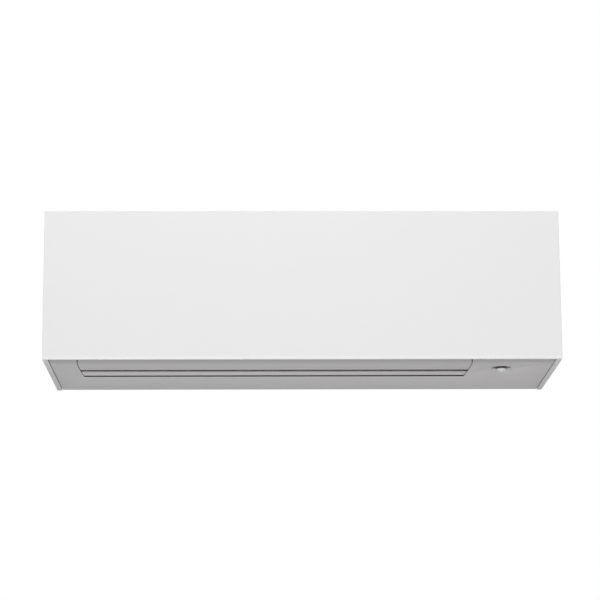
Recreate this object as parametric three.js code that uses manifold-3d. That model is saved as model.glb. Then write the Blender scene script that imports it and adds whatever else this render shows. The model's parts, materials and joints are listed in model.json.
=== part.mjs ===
// Indoor unit of a wall-mounted split air conditioner.
// Millimetres. The wall is the plane y = 0, the unit stands out from it towards -Y, +Z is up and
// +X is to the right of someone who faces the unit. The origin is the middle of the back of the
// wall mounting plate.
import * as THREE from 'three';
import { mergeVertices } from 'three/addons/utils/BufferGeometryUtils.js';
import Module from 'manifold-3d';

const wasm = await Module();
wasm.setup();

// ---------------------------------------------------------------- driving dimensions

// Overall shape
const CASE_WIDTH = 990; // across the front panel
const CASE_DEPTH = 255; // from the wall to the face of the front panel
const FACE_HEIGHT = 290; // of the front panel
const TOP_Z = 150; // top of the unit above the middle of the mounting plate
const UNDERSIDE_FALL = 15; // the underside sinks by this much from the front to the wall
const SIDE_TAPER = 10; // each side leans in by this much from the front to the wall
const SEAT = 0.3; // gap between two pieces that touch
const RUNNING_GAP = 0.6; // gap round a piece that turns

// Casing
const CASING_WALL = 2.5;
const CASING_START = 8.6; // depth behind the face at which the side strips start
const FRAME_START = 12; // depth behind the face of the frame behind the panel
const STRIP_WIDTH = 10; // of the side wall's foot, seen from below
const STRIP_HEIGHT = 4; // of the foot where it runs ahead of the frame
const WALL_GAP = 2; // between the casing's rear edge and the wall
const ACCESS_BOTTOM = 52; // height of the filter opening above the foot of the face
const ACCESS_TOP = 24; // distance of the filter opening below the top
const ACCESS_MARGIN = 5; // how far the frame laps over the filters
const CENTRE_BAR = 8; // bar between the two filter openings
const TONGUE_PLACES = [-0.3, -0.05, 0.2]; // of the tongues under the panel's rail, in case widths
const TONGUE_WIDTH = 10;
const TONGUE_THICKNESS = 3;
const TONGUE_RISE = 14; // above the foot of the face

// Front panel
const PANEL_SKIN = 3;
const PANEL_RIM = 2.5; // thickness of the rim behind the skin
const PANEL_RIM_DEPTH = 8; // of the rim, measured from the face
const PANEL_CHAMFER = 2.5; // bright bevel along the lower front edge
const PANEL_EDGE = 1; // small bevel on the other front edges
const PANEL_RIB = 3; // height of the stiffening ribs
const PANEL_RIB_COUNT = 6;
const HINGE_DEPTH = 10; // of the hinge line behind the face
const HINGE_DROP = 3.5; // of the hinge line below the top
const HINGE_PIN = 2; // radius
const HINGE_EYE = 3.2; // radius of the arm's round end
const HINGE_INSET = 28; // of the hinge arms from the panel's sides
const HINGE_ARM = 3; // thickness
const HINGE_PIN_LENGTH = 5;

// Top intake grille
const GRILLE_COLUMNS = 6;
const GRILLE_ROWS = 8;
const GRILLE_BAR = 5.5;
const GRILLE_BORDER = 7;
const GRILLE_DEPTH = 8;
const GRILLE_FRONT = 51; // depth behind the face
const GRILLE_REAR = 42; // distance from the wall
const GRILLE_LIP = 3;

// Air chamber and outlet
const LEFT_SPACE = 54; // beside the air chamber, for the fan's bearing
const RIGHT_SPACE = 159; // beside the air chamber, for the motor and the electrical parts
const BULKHEAD = 3;
const OUTLET_MARGIN_LEFT = 9.3; // from the chamber's end to the widest place of the outlet
const OUTLET_MARGIN_RIGHT = 9.7;
const OUTLET_FRONT = 9; // depth behind the face
const OUTLET_REAR = 142;
const OUTLET_BULGE_DEPTH = 48; // where the outlet is widest
const OUTLET_BULGE = 2; // how much narrower each end is at the front
const OUTLET_DRAW_IN = 7.4; // how much narrower each end is at the rear
const COVER_RECESS = 1; // the cover lies this much above the strips' feet
const COVER_LIP_RISE = 2; // and this much more right behind the panel
const COVER_LIP_DEPTH = 45;
const COVER_THICKNESS = 2.5;
const COVER_GAP = 1.2; // dark line between the cover and the strips

// Flaps
const FLAP_END_GAP = 1.3;
const FLAP_REAR = 93; // depth of the main flap's rear edge
const FLAP_THICKNESS = 5;
const FLAP_EDGE = 1.8; // thickness left at the edges
const FLAP_AXIS_INSET = 9; // of the pivots ahead of the rear edge
const FLAP_AXIS_RISE = 9; // of the pivots above the underside
const SECOND_FRONT = 101.5;
const SECOND_REAR = 134;
const SECOND_THICKNESS = 4;
const SECOND_AXIS_INSET = 6;
const FLAP_PIN = 3; // radius
const FLAP_EAR = 3; // thickness
const STEP_MOTOR_RADIUS = 12;
const STEP_MOTOR_LENGTH = 16;
const STEP_MOTOR_OFFSET = 7; // of its middle above its shaft

// Fan
const FAN_SHIFT = 27.5; // of the shaft behind the middle of the depth
const FAN_RISE = 112; // of the shaft above the foot of the face
const FAN_RADIUS = 48;
const FAN_BLADES = 17;
const FAN_SECTIONS = 3;
const BLADE_CHORD = 11;
const BLADE_THICKNESS = 1.5;
const BLADE_SWEEP = 15; // degrees by which a blade's inner edge leads its outer edge
const FAN_DISC = 1.8;
const FAN_END_GAP = 9; // between the end discs and the bulkheads
const SHAFT = 4; // radius
const SCROLL_GAP = 5; // between fan and scroll where the scroll starts
const SCROLL_GROWTH = 7; // how much the gap grows along the scroll
const SCROLL_WALL = 3;
const SCROLL_START = 35; // degrees above the horizontal, at the rear
const SCROLL_END = -36;
const TONGUE_GAP = 5; // between the fan and the duct's front wall
const DUCT_BOW = 3; // of the duct's front wall near its foot
const BEARING = 17; // outer radius of the rubber mount
const MOTOR_RADIUS = 42;
const MOTOR_LENGTH = 56;
const MOTOR_BOSS = 22;

// Chassis
const BACK_WALL = 3;
const BACK_SPACE = 11; // between the wall and the chassis
const CHASSIS_FLANGE = 20; // of its edges, towards the front
const CHANNEL_HEIGHT = 66; // of the pipe channel at the foot of the face
const TROUGH_LAP = 8; // how far the rear drip trough reaches over the fan
const TROUGH_HEIGHT = 17;

// Heat exchanger
const COIL_THICKNESS = 26;
const COIL_GROOVE = 3;
const COIL_GROOVES = 22;
const COIL_FRONT = 47; // depth of the lower slab's middle plane
const COIL_END_PLATE = 1.5;
const COIL_OVERHANG = 3; // of the slabs past the bulkheads
const COIL_SLOT = 2; // gap between slabs
const BEND_PIPE = 3.5; // radius of the return bends' pipe
const BEND_RADIUS = 8;
const COIL_SPLIT = 162; // of the lower slab's head above the foot of the face

// Drain pan
const TRAY_WALL = 2.5;
const TRAY_MARGIN = 2; // between the coil and the tray's sides
const TRAY_DROP = 8; // of the tray's floor below the coil
const TRAY_LIFT = 4.5; // of the tray's floor above the duct's front wall, at its rear side
const TRAY_RISE = 12; // of its rim above the coil's foot
const TRAY_SKIRT = 16; // height of the front wall below the tray's floor
const DRAIN_INSET = 20; // of the spare drain from the chamber's left end
const DRAIN_RADIUS = 5;
const PLUG_LENGTH = 6.6;

// Filters
const FILTER_THICKNESS = 2;
const FILTER_BORDER = 6;
const FILTER_RIB = 2;
const FILTER_COLUMNS = 4;
const FILTER_ROWS = 3;
const FILTER_TOP_ROWS = 2;
const FILTER_BEND = 36; // radius where it turns over the coil
const FILTER_DROP = 20; // of its top run below the top of the unit
const FILTER_FOOT = 4; // below the access opening

// Air direction blades
const VANES_PER_GROUP = 6;
const VANE_END_SPACE = 7; // left over at each end of the outlet
const VANE_THICKNESS = 1.6;
const VANE_REACH = 50; // into the duct
const VANE_UPSTREAM = 12;
const VANE_DOWNSTREAM = 26;
const VANE_PLACE = 0.36; // along the duct's front wall
const VANE_CLEARANCE = 1;
const VANE_STEM = 2.5; // radius
const VANE_GRIP = 2.4; // half thickness of the tab that is turned by hand
const LINK_ARM = 17.5; // from a blade's pivot to its link pin
const LINK_HEIGHT = 20; // of the rod above the duct wall
const LINK_THICKNESS = 3;
const LINK_WIDTH = 6;
const LINK_PIN = 1.3;

// Pipes and electrical parts
const GAS_PIPE = 6.35;
const LIQUID_PIPE = 3.2;
const BOX_WALL = 2;
const BOX_TO_CHAMBER = 36; // clear of the motor's bracket
const BOX_TO_SIDE = 18;
const BOX_FRONT = 17; // depth behind the face
const BOX_DEPTH = 64;
const BOX_FOOT = 100; // above the foot of the face
const BOX_HEAD = 34; // below the top
const BOX_LEG = 60; // height of the leg that stands on the chassis back wall
const BOX_APRON = 52; // of the box's rear wall below its floor
const BOARD_POST = 6; // height of the posts under the board
const BOARD_POST_INSET = 12;
const BOARD_MARGIN = 3; // between the board and the box's walls
const BOARD_THICKNESS = 1.6;
const CAPACITOR_RADIUS = 7;
const CAPACITOR_HEIGHT = 24;
const RELAY = [16, 15, 18]; // width, height off the board, length
const PLUG = [12, 8, 6];
const COOLER_HEIGHT = 22;
const COOLER_LENGTH = 40;
const COOLER_FIN_PITCH = 7;
const TERMINAL_WAYS = 4;
const TERMINAL_PITCH = 13;
const TERMINAL_HEIGHT = 20;
const TERMINAL_DEPTH = 26;
const TERMINAL_TO_WALL = 6; // between the terminals and the box's rear wall
const CLAMP_LENGTH = 28;
const SENSOR_TO_CHAMBER = 50;
const SENSOR_DEPTH = 80;
const SENSOR_RADIUS = 20.5;
const LENS_RADIUS = 12;
const LENS_DROP = 7;
const SOCKET_HEIGHT = 7; // of the sensor's housing above the cover
const SOCKET_FLANGE = 3;
const LENS_SEAT = 5; // of the lens's collar above the cover
const LAMP_TO_CHAMBER = 84;
const LAMP_LENGTH = 44;
const LAMP_DEPTH = 42;
const LAMP_WIDTH = 3.4;
const BUTTON_TO_CHAMBER = 74;
const BUTTON_RISE = 62; // above the foot of the face
const BUTTON_RADIUS = 4.5;
const BUTTON_TRAVEL = 1.5;

// Mounting plate
const PLATE_INSET = 115; // of the plate from the sides of the unit
const PLATE_HEIGHT = 232;
const PLATE_SHEET = 1.2;
const PLATE_RIB = 5;
const HOOK_WIDTH = 24;
const HOOK_SPACING = 250;
const HOOK_RISE = 102;
const HOOK_LIP = 8;

// ---------------------------------------------------------------- derived places

const FACE_Y = -CASE_DEPTH;
const FOOT_Z = TOP_Z - FACE_HEIGHT;
const behindFace = (depth) => FACE_Y + depth;
const undersideZ = (y) => FOOT_Z - (UNDERSIDE_FALL * (y - FACE_Y)) / CASE_DEPTH;
const sideX = (y) => CASE_WIDTH / 2 - (SIDE_TAPER * (y - FACE_Y)) / CASE_DEPTH;
const coverTop = (y) => undersideZ(y) + COVER_RECESS + COVER_THICKNESS;

const CHAMBER_LEFT = LEFT_SPACE - CASE_WIDTH / 2; // inner face of the left bulkhead
const CHAMBER_RIGHT = CASE_WIDTH / 2 - RIGHT_SPACE; // inner face of the right bulkhead
const OUTLET_LEFT = CHAMBER_LEFT + OUTLET_MARGIN_LEFT;
const OUTLET_RIGHT = CHAMBER_RIGHT - OUTLET_MARGIN_RIGHT;
const FLAP_AXIS_DEPTH = FLAP_REAR - FLAP_AXIS_INSET;
const SECOND_AXIS_DEPTH = SECOND_REAR - SECOND_AXIS_INSET;
const VANE_PITCH = (OUTLET_RIGHT - OUTLET_LEFT - 2 * VANE_END_SPACE) / (2 * VANES_PER_GROUP);
const BOX_LEFT = CHAMBER_RIGHT + BOX_TO_CHAMBER;
const BOX_RIGHT = CASE_WIDTH / 2 - BOX_TO_SIDE;
const SENSOR_X = CHAMBER_RIGHT + SENSOR_TO_CHAMBER;
const LAMP_LEFT = CHAMBER_RIGHT + LAMP_TO_CHAMBER;
const LAMP_RIGHT = LAMP_LEFT + LAMP_LENGTH;
const BUTTON_X = CHAMBER_RIGHT + BUTTON_TO_CHAMBER;
const FAN_TO_WALL = CASE_DEPTH / 2 - FAN_SHIFT;
const FRAME_Y = behindFace(FRAME_START);
const CASING_REAR = -WALL_GAP;
const OUTLET_MIDDLE = (OUTLET_LEFT + OUTLET_RIGHT) / 2;
const FAN_Y = -FAN_TO_WALL;
const FAN_Z = FOOT_Z + FAN_RISE;
const BACK_Y = -BACK_SPACE - BACK_WALL; // front face of the chassis back wall
const TROUGH_DEPTH = FAN_TO_WALL - BACK_SPACE - BACK_WALL - FAN_RADIUS + TROUGH_LAP;
const CHANNEL_Z = FOOT_Z + CHANNEL_HEIGHT;
const HINGE_Y = behindFace(HINGE_DEPTH);
const HINGE_Z = TOP_Z - HINGE_DROP;
const HINGE_X = CASE_WIDTH / 2 - HINGE_INSET;

const polar = (y, z, radius, degrees) => {
  const angle = THREE.MathUtils.degToRad(degrees);
  return [y + radius * Math.cos(angle), z + radius * Math.sin(angle)];
};
const between = (a, b, share) => [a[0] + (b[0] - a[0]) * share, a[1] + (b[1] - a[1]) * share];
const unit = (a, b) => {
  const length = Math.hypot(b[0] - a[0], b[1] - a[1]);
  return [(b[0] - a[0]) / length, (b[1] - a[1]) / length];
};

// The duct's front wall runs from the tongue to the outlet's front edge.
const TONGUE = polar(FAN_Y, FAN_Z, FAN_RADIUS + TONGUE_GAP, 195);
const DUCT_FRONT = FRAME_START + CASING_WALL + 3.5; // depth of the duct wall's lower end
const DUCT_FOOT = [behindFace(DUCT_FRONT), coverTop(behindFace(DUCT_FRONT)) + 8];
const DUCT_ALONG = unit(TONGUE, DUCT_FOOT);
const DUCT_INTO = [-DUCT_ALONG[1], DUCT_ALONG[0]];

// ---------------------------------------------------------------- making solids

const ALONG_X = new THREE.Matrix4().set(0, 0, 1, 0, 1, 0, 0, 0, 0, 1, 0, 0, 0, 0, 0, 1);
const ALONG_Y = new THREE.Matrix4().set(1, 0, 0, 0, 0, 0, -1, 0, 0, 1, 0, 0, 0, 0, 0, 1);

function solid(geometry) {
  const bare = new THREE.BufferGeometry();
  bare.setAttribute('position', geometry.attributes.position);
  bare.setIndex(geometry.index);
  const merged = mergeVertices(bare, 1e-4);
  const vertProperties = new Float32Array(merged.attributes.position.array);
  const triVerts = new Uint32Array(merged.index.array);
  return new wasm.Manifold(new wasm.Mesh({ numProp: 3, vertProperties, triVerts }));
}

function geometryOf(shape) {
  const { vertProperties, triVerts } = shape.getMesh();
  const geometry = new THREE.BufferGeometry();
  geometry.setAttribute('position', new THREE.BufferAttribute(vertProperties, 3));
  geometry.setIndex(new THREE.BufferAttribute(triVerts, 1));
  geometry.computeVertexNormals();
  return geometry;
}

const join = (first, ...others) => others.flat().reduce((sum, next) => sum.add(next), first);
const cut = (first, ...others) => others.flat().reduce((rest, next) => rest.subtract(next), first);
const count = (n, make) => Array.from({ length: n }, (_, i) => make(i));

function extruded(outline, depth, holes = []) {
  const shape = new THREE.Shape(outline.map(([a, b]) => new THREE.Vector2(a, b)));
  for (const hole of holes) {
    shape.holes.push(new THREE.Path(hole.map(([a, b]) => new THREE.Vector2(a, b))));
  }
  return new THREE.ExtrudeGeometry(shape, { depth, bevelEnabled: false });
}

// An outline of [y, z] points, from x0 to x1.
function prismX(outline, x0, x1, holes) {
  return solid(extruded(outline, x1 - x0, holes).applyMatrix4(ALONG_X).translate(x0, 0, 0));
}

// An outline of [x, z] points, from y0 to y1.
function prismY(outline, y0, y1) {
  return solid(extruded(outline, y1 - y0).applyMatrix4(ALONG_Y).translate(0, y1, 0));
}

// An outline of [x, y] points, from z0 to z1.
function prismZ(outline, z0, z1) {
  return solid(extruded(outline, z1 - z0).translate(0, 0, z0));
}

function block(x0, x1, y0, y1, z0, z1) {
  const geometry = new THREE.BoxGeometry(x1 - x0, y1 - y0, z1 - z0);
  return solid(geometry.translate((x0 + x1) / 2, (y0 + y1) / 2, (z0 + z1) / 2));
}

// A straight round bar between two points; a second radius makes it a cone.
function bar(radius, from, to, sides = 16, radiusTo = radius) {
  const start = new THREE.Vector3(...from);
  const end = new THREE.Vector3(...to);
  const direction = end.clone().sub(start);
  const geometry = new THREE.CylinderGeometry(radiusTo, radius, direction.length(), sides);
  const turn = new THREE.Quaternion();
  turn.setFromUnitVectors(new THREE.Vector3(0, 1, 0), direction.clone().normalize());
  geometry.applyQuaternion(turn);
  const middle = start.add(end).multiplyScalar(0.5);
  return solid(geometry.translate(middle.x, middle.y, middle.z));
}

const barX = (radius, y, z, x0, x1, sides) => bar(radius, [x0, y, z], [x1, y, z], sides);

// A line through given stations, so that a swept pipe has rings there and nowhere else.
class StationPath extends THREE.Curve {
  constructor(stations) {
    super();
    this.stations = stations;
  }

  getPoint(t) {
    const place = t * (this.stations.length - 1);
    const before = Math.min(Math.floor(place), this.stations.length - 2);
    return this.stations[before].clone().lerp(this.stations[before + 1], place - before);
  }

  getPointAt(t) {
    return this.getPoint(t);
  }

  getTangentAt(t) {
    const last = this.stations.length - 1;
    const here = Math.round(t * last);
    const behind = this.stations[Math.max(here - 1, 0)];
    return this.stations[Math.min(here + 1, last)].clone().sub(behind).normalize();
  }
}

function sweep(stations, radius, sides) {
  const circle = count(sides, (i) => polar(0, 0, radius, (360 * (i + 0.5)) / sides));
  const section = new THREE.Shape(circle.map(([a, b]) => new THREE.Vector2(a, b)));
  const extrudePath = new StationPath(stations);
  const steps = stations.length - 1;
  return solid(new THREE.ExtrudeGeometry(section, { steps, extrudePath, bevelEnabled: false }));
}

// A pipe with straight runs between the given corners and a bend at each.
function pipe(points, radius, bend, sides = 8) {
  const corners = points.map((p) => new THREE.Vector3(...p));
  const stations = [corners[0]];
  for (let i = 1; i < corners.length - 1; i += 1) {
    const back = corners[i - 1].clone().sub(corners[i]).setLength(bend).add(corners[i]);
    const ahead = corners[i + 1].clone().sub(corners[i]).setLength(bend).add(corners[i]);
    stations.push(...new THREE.QuadraticBezierCurve3(back, corners[i], ahead).getPoints(4));
  }
  return sweep([...stations, corners[corners.length - 1]], radius, sides);
}

const circleOutline = (y, z, radius, sides) =>
  count(sides, (i) => polar(y, z, radius, (360 * i) / sides));

// ---------------------------------------------------------------- materials and the group

const unitGroup = new THREE.Group();
const white = { color: 0xeeeeec, roughness: 0.45, metalness: 0 };
const lightGrey = { color: 0xd9d6d6, roughness: 0.5, metalness: 0 };
const innerGrey = { color: 0xb9bbbb, roughness: 0.6, metalness: 0 };
const black = { color: 0x26282a, roughness: 0.6, metalness: 0 };
const zinc = { color: 0xb4b8ba, roughness: 0.4, metalness: 0.9 };
const aluminium = { color: 0xc6cacb, roughness: 0.35, metalness: 0.9 };
const copper = { color: 0xb87345, roughness: 0.35, metalness: 1 };
const brass = { color: 0xb79a55, roughness: 0.35, metalness: 1 };
const filterBlue = { color: 0x4c5a66, roughness: 0.7, metalness: 0 };
const boardGreen = { color: 0x2f6b4a, roughness: 0.55, metalness: 0 };
const lensWhite = { color: 0xf4f4f2, roughness: 0.2, metalness: 0 };

function place(name, shape, material) {
  const mesh = new THREE.Mesh(geometryOf(shape), new THREE.MeshStandardMaterial(material));
  mesh.name = name;
  unitGroup.add(mesh);
}

// ---------------------------------------------------------------- outlines shared by pieces

// Plan of the casing between its two leaning sides, drawn in by `inset`.
function casePlan(inset, y0, y1) {
  return [
    [-sideX(y0) + inset, y0],
    [sideX(y0) - inset, y0],
    [sideX(y1) - inset, y1],
    [-sideX(y1) + inset, y1],
  ];
}

// One end of the outlet in plan: how far its edge lies inside the widest place.
function outletInset(depth) {
  if (depth < OUTLET_BULGE_DEPTH) {
    const ahead = (OUTLET_BULGE_DEPTH - depth) / (OUTLET_BULGE_DEPTH - OUTLET_FRONT);
    return OUTLET_BULGE * ahead * ahead;
  }
  const behind = (depth - OUTLET_BULGE_DEPTH) / (OUTLET_REAR - OUTLET_BULGE_DEPTH);
  return OUTLET_DRAW_IN * Math.pow(behind, 1.25);
}

function outletPlan(gap, front, rear) {
  const steps = 8;
  const depths = count(steps + 1, (i) => front + ((rear - front) * i) / steps);
  const left = depths.map((d) => [OUTLET_LEFT + outletInset(d) + gap, behindFace(d)]);
  const right = depths.map((d) => [OUTLET_RIGHT - outletInset(d) - gap, behindFace(d)]);
  return [...left, ...right.reverse()];
}

const ABOVE = 400; // reach of a cutting block past the unit

// ---------------------------------------------------------------- casing

function frontCasing() {
  const start = behindFace(CASING_START);
  const topFront = HINGE_Y + HINGE_EYE + 1.3;
  const topRelief = TOP_Z - ACCESS_TOP + 4;
  const sideRelief = HINGE_Z - HINGE_EYE;
  const profile = [
    [start, undersideZ(start)],
    [CASING_REAR, undersideZ(CASING_REAR)],
    [CASING_REAR, TOP_Z],
    [topFront, TOP_Z],
    [topFront, sideRelief],
    [start, sideRelief],
  ];
  const outer = prismX(profile, -ABOVE * 2, ABOVE * 2).intersect(
    prismZ(casePlan(0, start, CASING_REAR), -ABOVE, ABOVE));
  const innerTop = TOP_Z - CASING_WALL;
  const innerFront = FRAME_Y + CASING_WALL;
  const innerPlan = prismZ(casePlan(CASING_WALL, innerFront, 10), -ABOVE, ABOVE);
  const hollow = prismX([
    [innerFront, undersideZ(innerFront) + CASING_WALL],
    [10, undersideZ(10) + CASING_WALL],
    [10, innerTop],
    [topFront + CASING_WALL, innerTop],
    [topFront + CASING_WALL, topRelief - CASING_WALL],
    [innerFront, topRelief - CASING_WALL],
  ], -ABOVE * 2, ABOVE * 2).intersect(innerPlan);
  const footOpening = prismZ(casePlan(STRIP_WIDTH, FACE_Y, 10), -ABOVE, FOOT_Z + 9);
  const aheadOfFrame = prismX([
    [FACE_Y, FOOT_Z + STRIP_HEIGHT],
    [FRAME_Y, FOOT_Z + STRIP_HEIGHT],
    [FRAME_Y, topRelief],
    [topFront, topRelief],
    [topFront, ABOVE],
    [FACE_Y, ABOVE],
  ], -ABOVE * 2, ABOVE * 2).intersect(prismZ(casePlan(CASING_WALL, FACE_Y, 10), -ABOVE, ABOVE));
  const accessLow = FOOT_Z + ACCESS_BOTTOM;
  const accessHigh = TOP_Z - ACCESS_TOP;
  const access = [
    [CHAMBER_LEFT + ACCESS_MARGIN + 4, OUTLET_MIDDLE - CENTRE_BAR / 2],
    [OUTLET_MIDDLE + CENTRE_BAR / 2, CHAMBER_RIGHT - ACCESS_MARGIN - 4],
  ].map(([x0, x1]) => block(x0, x1, FACE_Y, innerFront + 1, accessLow, accessHigh));
  const grille = grilleSpan(SEAT);
  const topHole = block(grille.x0, grille.x1, grille.y0, grille.y1, TOP_Z - 10, TOP_Z + 10);
  const buttonHole = bar(BUTTON_RADIUS + RUNNING_GAP / 2,
    [BUTTON_X, FACE_Y, FOOT_Z + BUTTON_RISE], [BUTTON_X, innerFront + 1, FOOT_Z + BUTTON_RISE]);
  const tongues = TONGUE_PLACES.map((share) => {
    const x = CASE_WIDTH * share;
    return block(x - TONGUE_WIDTH / 2, x + TONGUE_WIDTH / 2, behindFace(PANEL_SKIN + 1),
      FRAME_Y + 1, FOOT_Z + TONGUE_RISE, FOOT_Z + TONGUE_RISE + TONGUE_THICKNESS);
  });
  const shell = cut(outer, hollow, footOpening, aheadOfFrame, access, topHole, buttonHole);
  return join(shell, tongues, hingeLugs(topFront));
}

// The two lugs in front of the casing that hold the panel's pins.
function hingeLugs(topFront) {
  const near = HINGE_X + HINGE_ARM + RUNNING_GAP;
  const far = near + HINGE_PIN_LENGTH + 1;
  return [-1, 1].map((side) => {
    const [x0, x1] = side < 0 ? [-far, -near] : [near, far];
    const eye = barX(HINGE_EYE, HINGE_Y, HINGE_Z, x0, x1, 12);
    const neck = block(x0, x1, HINGE_Y, topFront + 1, HINGE_Z - HINGE_EYE, HINGE_Z + 2.5);
    const holeStart = side < 0 ? -near - HINGE_PIN_LENGTH : near - 1;
    const hole = barX(HINGE_PIN + SEAT, HINGE_Y, HINGE_Z, holeStart,
      holeStart + HINGE_PIN_LENGTH + 1, 12);
    return cut(join(eye, neck), hole);
  });
}

function grilleSpan(gap) {
  return {
    x0: CHAMBER_LEFT - gap,
    x1: CHAMBER_RIGHT + gap,
    y0: behindFace(GRILLE_FRONT) - gap,
    y1: -GRILLE_REAR + gap,
  };
}

// Moulded insert with rows of slots, held from below by its lip.
function topGrille() {
  const { x0, x1, y0, y1 } = grilleSpan(0);
  const lipTop = TOP_Z - CASING_WALL - SEAT;
  const plate = block(x0, x1, y0, y1, TOP_Z - GRILLE_DEPTH, TOP_Z);
  const lip = block(x0 - GRILLE_LIP, x1 + GRILLE_LIP, y0 - GRILLE_LIP, y1 + GRILLE_LIP,
    TOP_Z - GRILLE_DEPTH, lipTop);
  const cellX = (x1 - x0 - 2 * GRILLE_BORDER + GRILLE_BAR) / GRILLE_COLUMNS;
  const cellY = (y1 - y0 - 2 * GRILLE_BORDER + GRILLE_BAR) / GRILLE_ROWS;
  const slots = count(GRILLE_COLUMNS * GRILLE_ROWS, (i) => {
    const left = x0 + GRILLE_BORDER + cellX * (i % GRILLE_COLUMNS);
    const front = y0 + GRILLE_BORDER + cellY * Math.floor(i / GRILLE_COLUMNS);
    return block(left, left + cellX - GRILLE_BAR, front, front + cellY - GRILLE_BAR,
      TOP_Z - GRILLE_DEPTH - 1, TOP_Z + 1);
  });
  return cut(join(plate, lip), slots);
}

function frontPanel() {
  const skinBack = behindFace(PANEL_SKIN);
  const rimBack = behindFace(PANEL_RIM_DEPTH);
  const half = CASE_WIDTH / 2;
  const profile = [
    [FACE_Y, FOOT_Z + PANEL_CHAMFER],
    [FACE_Y + PANEL_CHAMFER * 0.6, FOOT_Z],
    [rimBack, FOOT_Z],
    [rimBack, FOOT_Z + PANEL_RIM],
    [skinBack, FOOT_Z + PANEL_RIM],
    [skinBack, TOP_Z - PANEL_RIM],
    [rimBack, TOP_Z - PANEL_RIM],
    [rimBack, TOP_Z],
    [FACE_Y + PANEL_EDGE, TOP_Z],
    [FACE_Y, TOP_Z - PANEL_EDGE],
  ];
  const plan = [
    [-half, FACE_Y + PANEL_EDGE],
    [-half + PANEL_EDGE, FACE_Y],
    [half - PANEL_EDGE, FACE_Y],
    [half, FACE_Y + PANEL_EDGE],
    [half, rimBack],
    [-half, rimBack],
  ];
  const skin = prismX(profile, -half, half).intersect(prismZ(plan, -ABOVE, ABOVE));
  const sideRims = [-half, half - PANEL_RIM].map(
    (x) => block(x, x + PANEL_RIM, FACE_Y + PANEL_EDGE, rimBack, FOOT_Z, TOP_Z - PANEL_EDGE));
  const ribBack = skinBack + PANEL_RIB;
  const rail = FOOT_Z + TONGUE_RISE + TONGUE_THICKNESS + RUNNING_GAP;
  const pitch = CASE_WIDTH / (PANEL_RIB_COUNT + 1);
  const ribs = count(PANEL_RIB_COUNT, (i) => block(-half + pitch * (i + 1) - 1,
    -half + pitch * (i + 1) + 1, skinBack - 1, ribBack, rail, TOP_Z - 1));
  const stringers = [rail, FOOT_Z + FACE_HEIGHT * 0.36, FOOT_Z + FACE_HEIGHT * 0.68].map(
    (z) => block(-half + 1, half - 1, skinBack - 1, ribBack, z, z + 2));
  const lugRoom = [-1, 1].map((side) => {
    const [x0, x1] = span(side, HINGE_X - 1, HINGE_X + HINGE_ARM + HINGE_PIN_LENGTH + 4);
    return block(x0, x1, skinBack, rimBack + 1, HINGE_Z - 8, TOP_Z + 1);
  });
  return join(cut(join(skin, sideRims, ribs, stringers), lugRoom), hingeArms(skinBack));
}

// A stretch of X on the left (side -1) or right (side 1), ordered.
function span(side, near, far) {
  return side < 0 ? [-far, -near] : [near, far];
}

function hingeArms(skinBack) {
  return [-1, 1].map((side) => {
    const [x0, x1] = span(side, HINGE_X, HINGE_X + HINGE_ARM);
    const [p0, p1] = span(side, HINGE_X + 1, HINGE_X + HINGE_ARM + HINGE_PIN_LENGTH);
    const web = block(x0, x1, skinBack - 1, HINGE_Y, HINGE_Z - HINGE_EYE, HINGE_Z + HINGE_EYE - 0.2);
    const eye = barX(HINGE_EYE - 0.2, HINGE_Y, HINGE_Z, x0, x1, 12);
    const pin = barX(HINGE_PIN, HINGE_Y, HINGE_Z, p0, p1, 12);
    return join(web, eye, pin);
  });
}

// Lower face of the underside cover and of both flaps at a place behind the face.
function skinZ(depth) {
  const near = Math.max(0, 1 - depth / COVER_LIP_DEPTH);
  return undersideZ(behindFace(depth)) + COVER_RECESS + COVER_LIP_RISE * near * near;
}

function undersideCover() {
  const rear = CASE_DEPTH - WALL_GAP - 1;
  const depths = [...count(5, (i) => OUTLET_FRONT + ((COVER_LIP_DEPTH - OUTLET_FRONT) * i) / 4),
    rear];
  const lower = depths.map((d) => [behindFace(d), skinZ(d)]);
  const upper = depths.map((d) => [behindFace(d), skinZ(d) + COVER_THICKNESS]).reverse();
  const plan = casePlan(STRIP_WIDTH + COVER_GAP, behindFace(OUTLET_FRONT), behindFace(rear));
  const within = prismZ(plan, -ABOVE, ABOVE);
  const skin = prismX([...lower, ...upper], -ABOVE * 2, ABOVE * 2).intersect(within);
  const notch = prismZ(outletPlan(0, OUTLET_FRONT - 2, OUTLET_REAR), -ABOVE, ABOVE);
  const rimOuter = prismZ(outletPlan(-1.8, OUTLET_FRONT, OUTLET_REAR + 1.8), -ABOVE, ABOVE);
  const rimBand = prismX([
    [behindFace(FRAME_START + 5), skinZ(17) + 1],
    [behindFace(OUTLET_REAR + 3), skinZ(OUTLET_REAR + 3) + 1],
    [behindFace(OUTLET_REAR + 3), coverTop(behindFace(OUTLET_REAR)) + 0.1],
    [behindFace(FLAP_REAR), coverTop(behindFace(FLAP_REAR)) + 0.2],
    [behindFace(FRAME_START + 5), skinZ(17) + COVER_THICKNESS + 0.2],
  ], -ABOVE * 2, ABOVE * 2).intersect(rimOuter);
  const frontFlange = block(-ABOVE * 2, ABOVE * 2, behindFace(OUTLET_FRONT),
    behindFace(OUTLET_FRONT) + 1.8, skinZ(OUTLET_FRONT) + 1, skinZ(OUTLET_FRONT) + 5)
    .intersect(within);
  const sensorHole = bar(SENSOR_RADIUS + SEAT, [SENSOR_X, behindFace(SENSOR_DEPTH), -ABOVE],
    [SENSOR_X, behindFace(SENSOR_DEPTH), ABOVE], 24);
  const lampHole = block(LAMP_LEFT, LAMP_RIGHT, behindFace(LAMP_DEPTH - LAMP_WIDTH / 2),
    behindFace(LAMP_DEPTH + LAMP_WIDTH / 2), -ABOVE, ABOVE);
  return cut(join(skin, rimBand, frontFlange), notch, sensorHole, lampHole);
}

// ---------------------------------------------------------------- flaps

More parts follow.
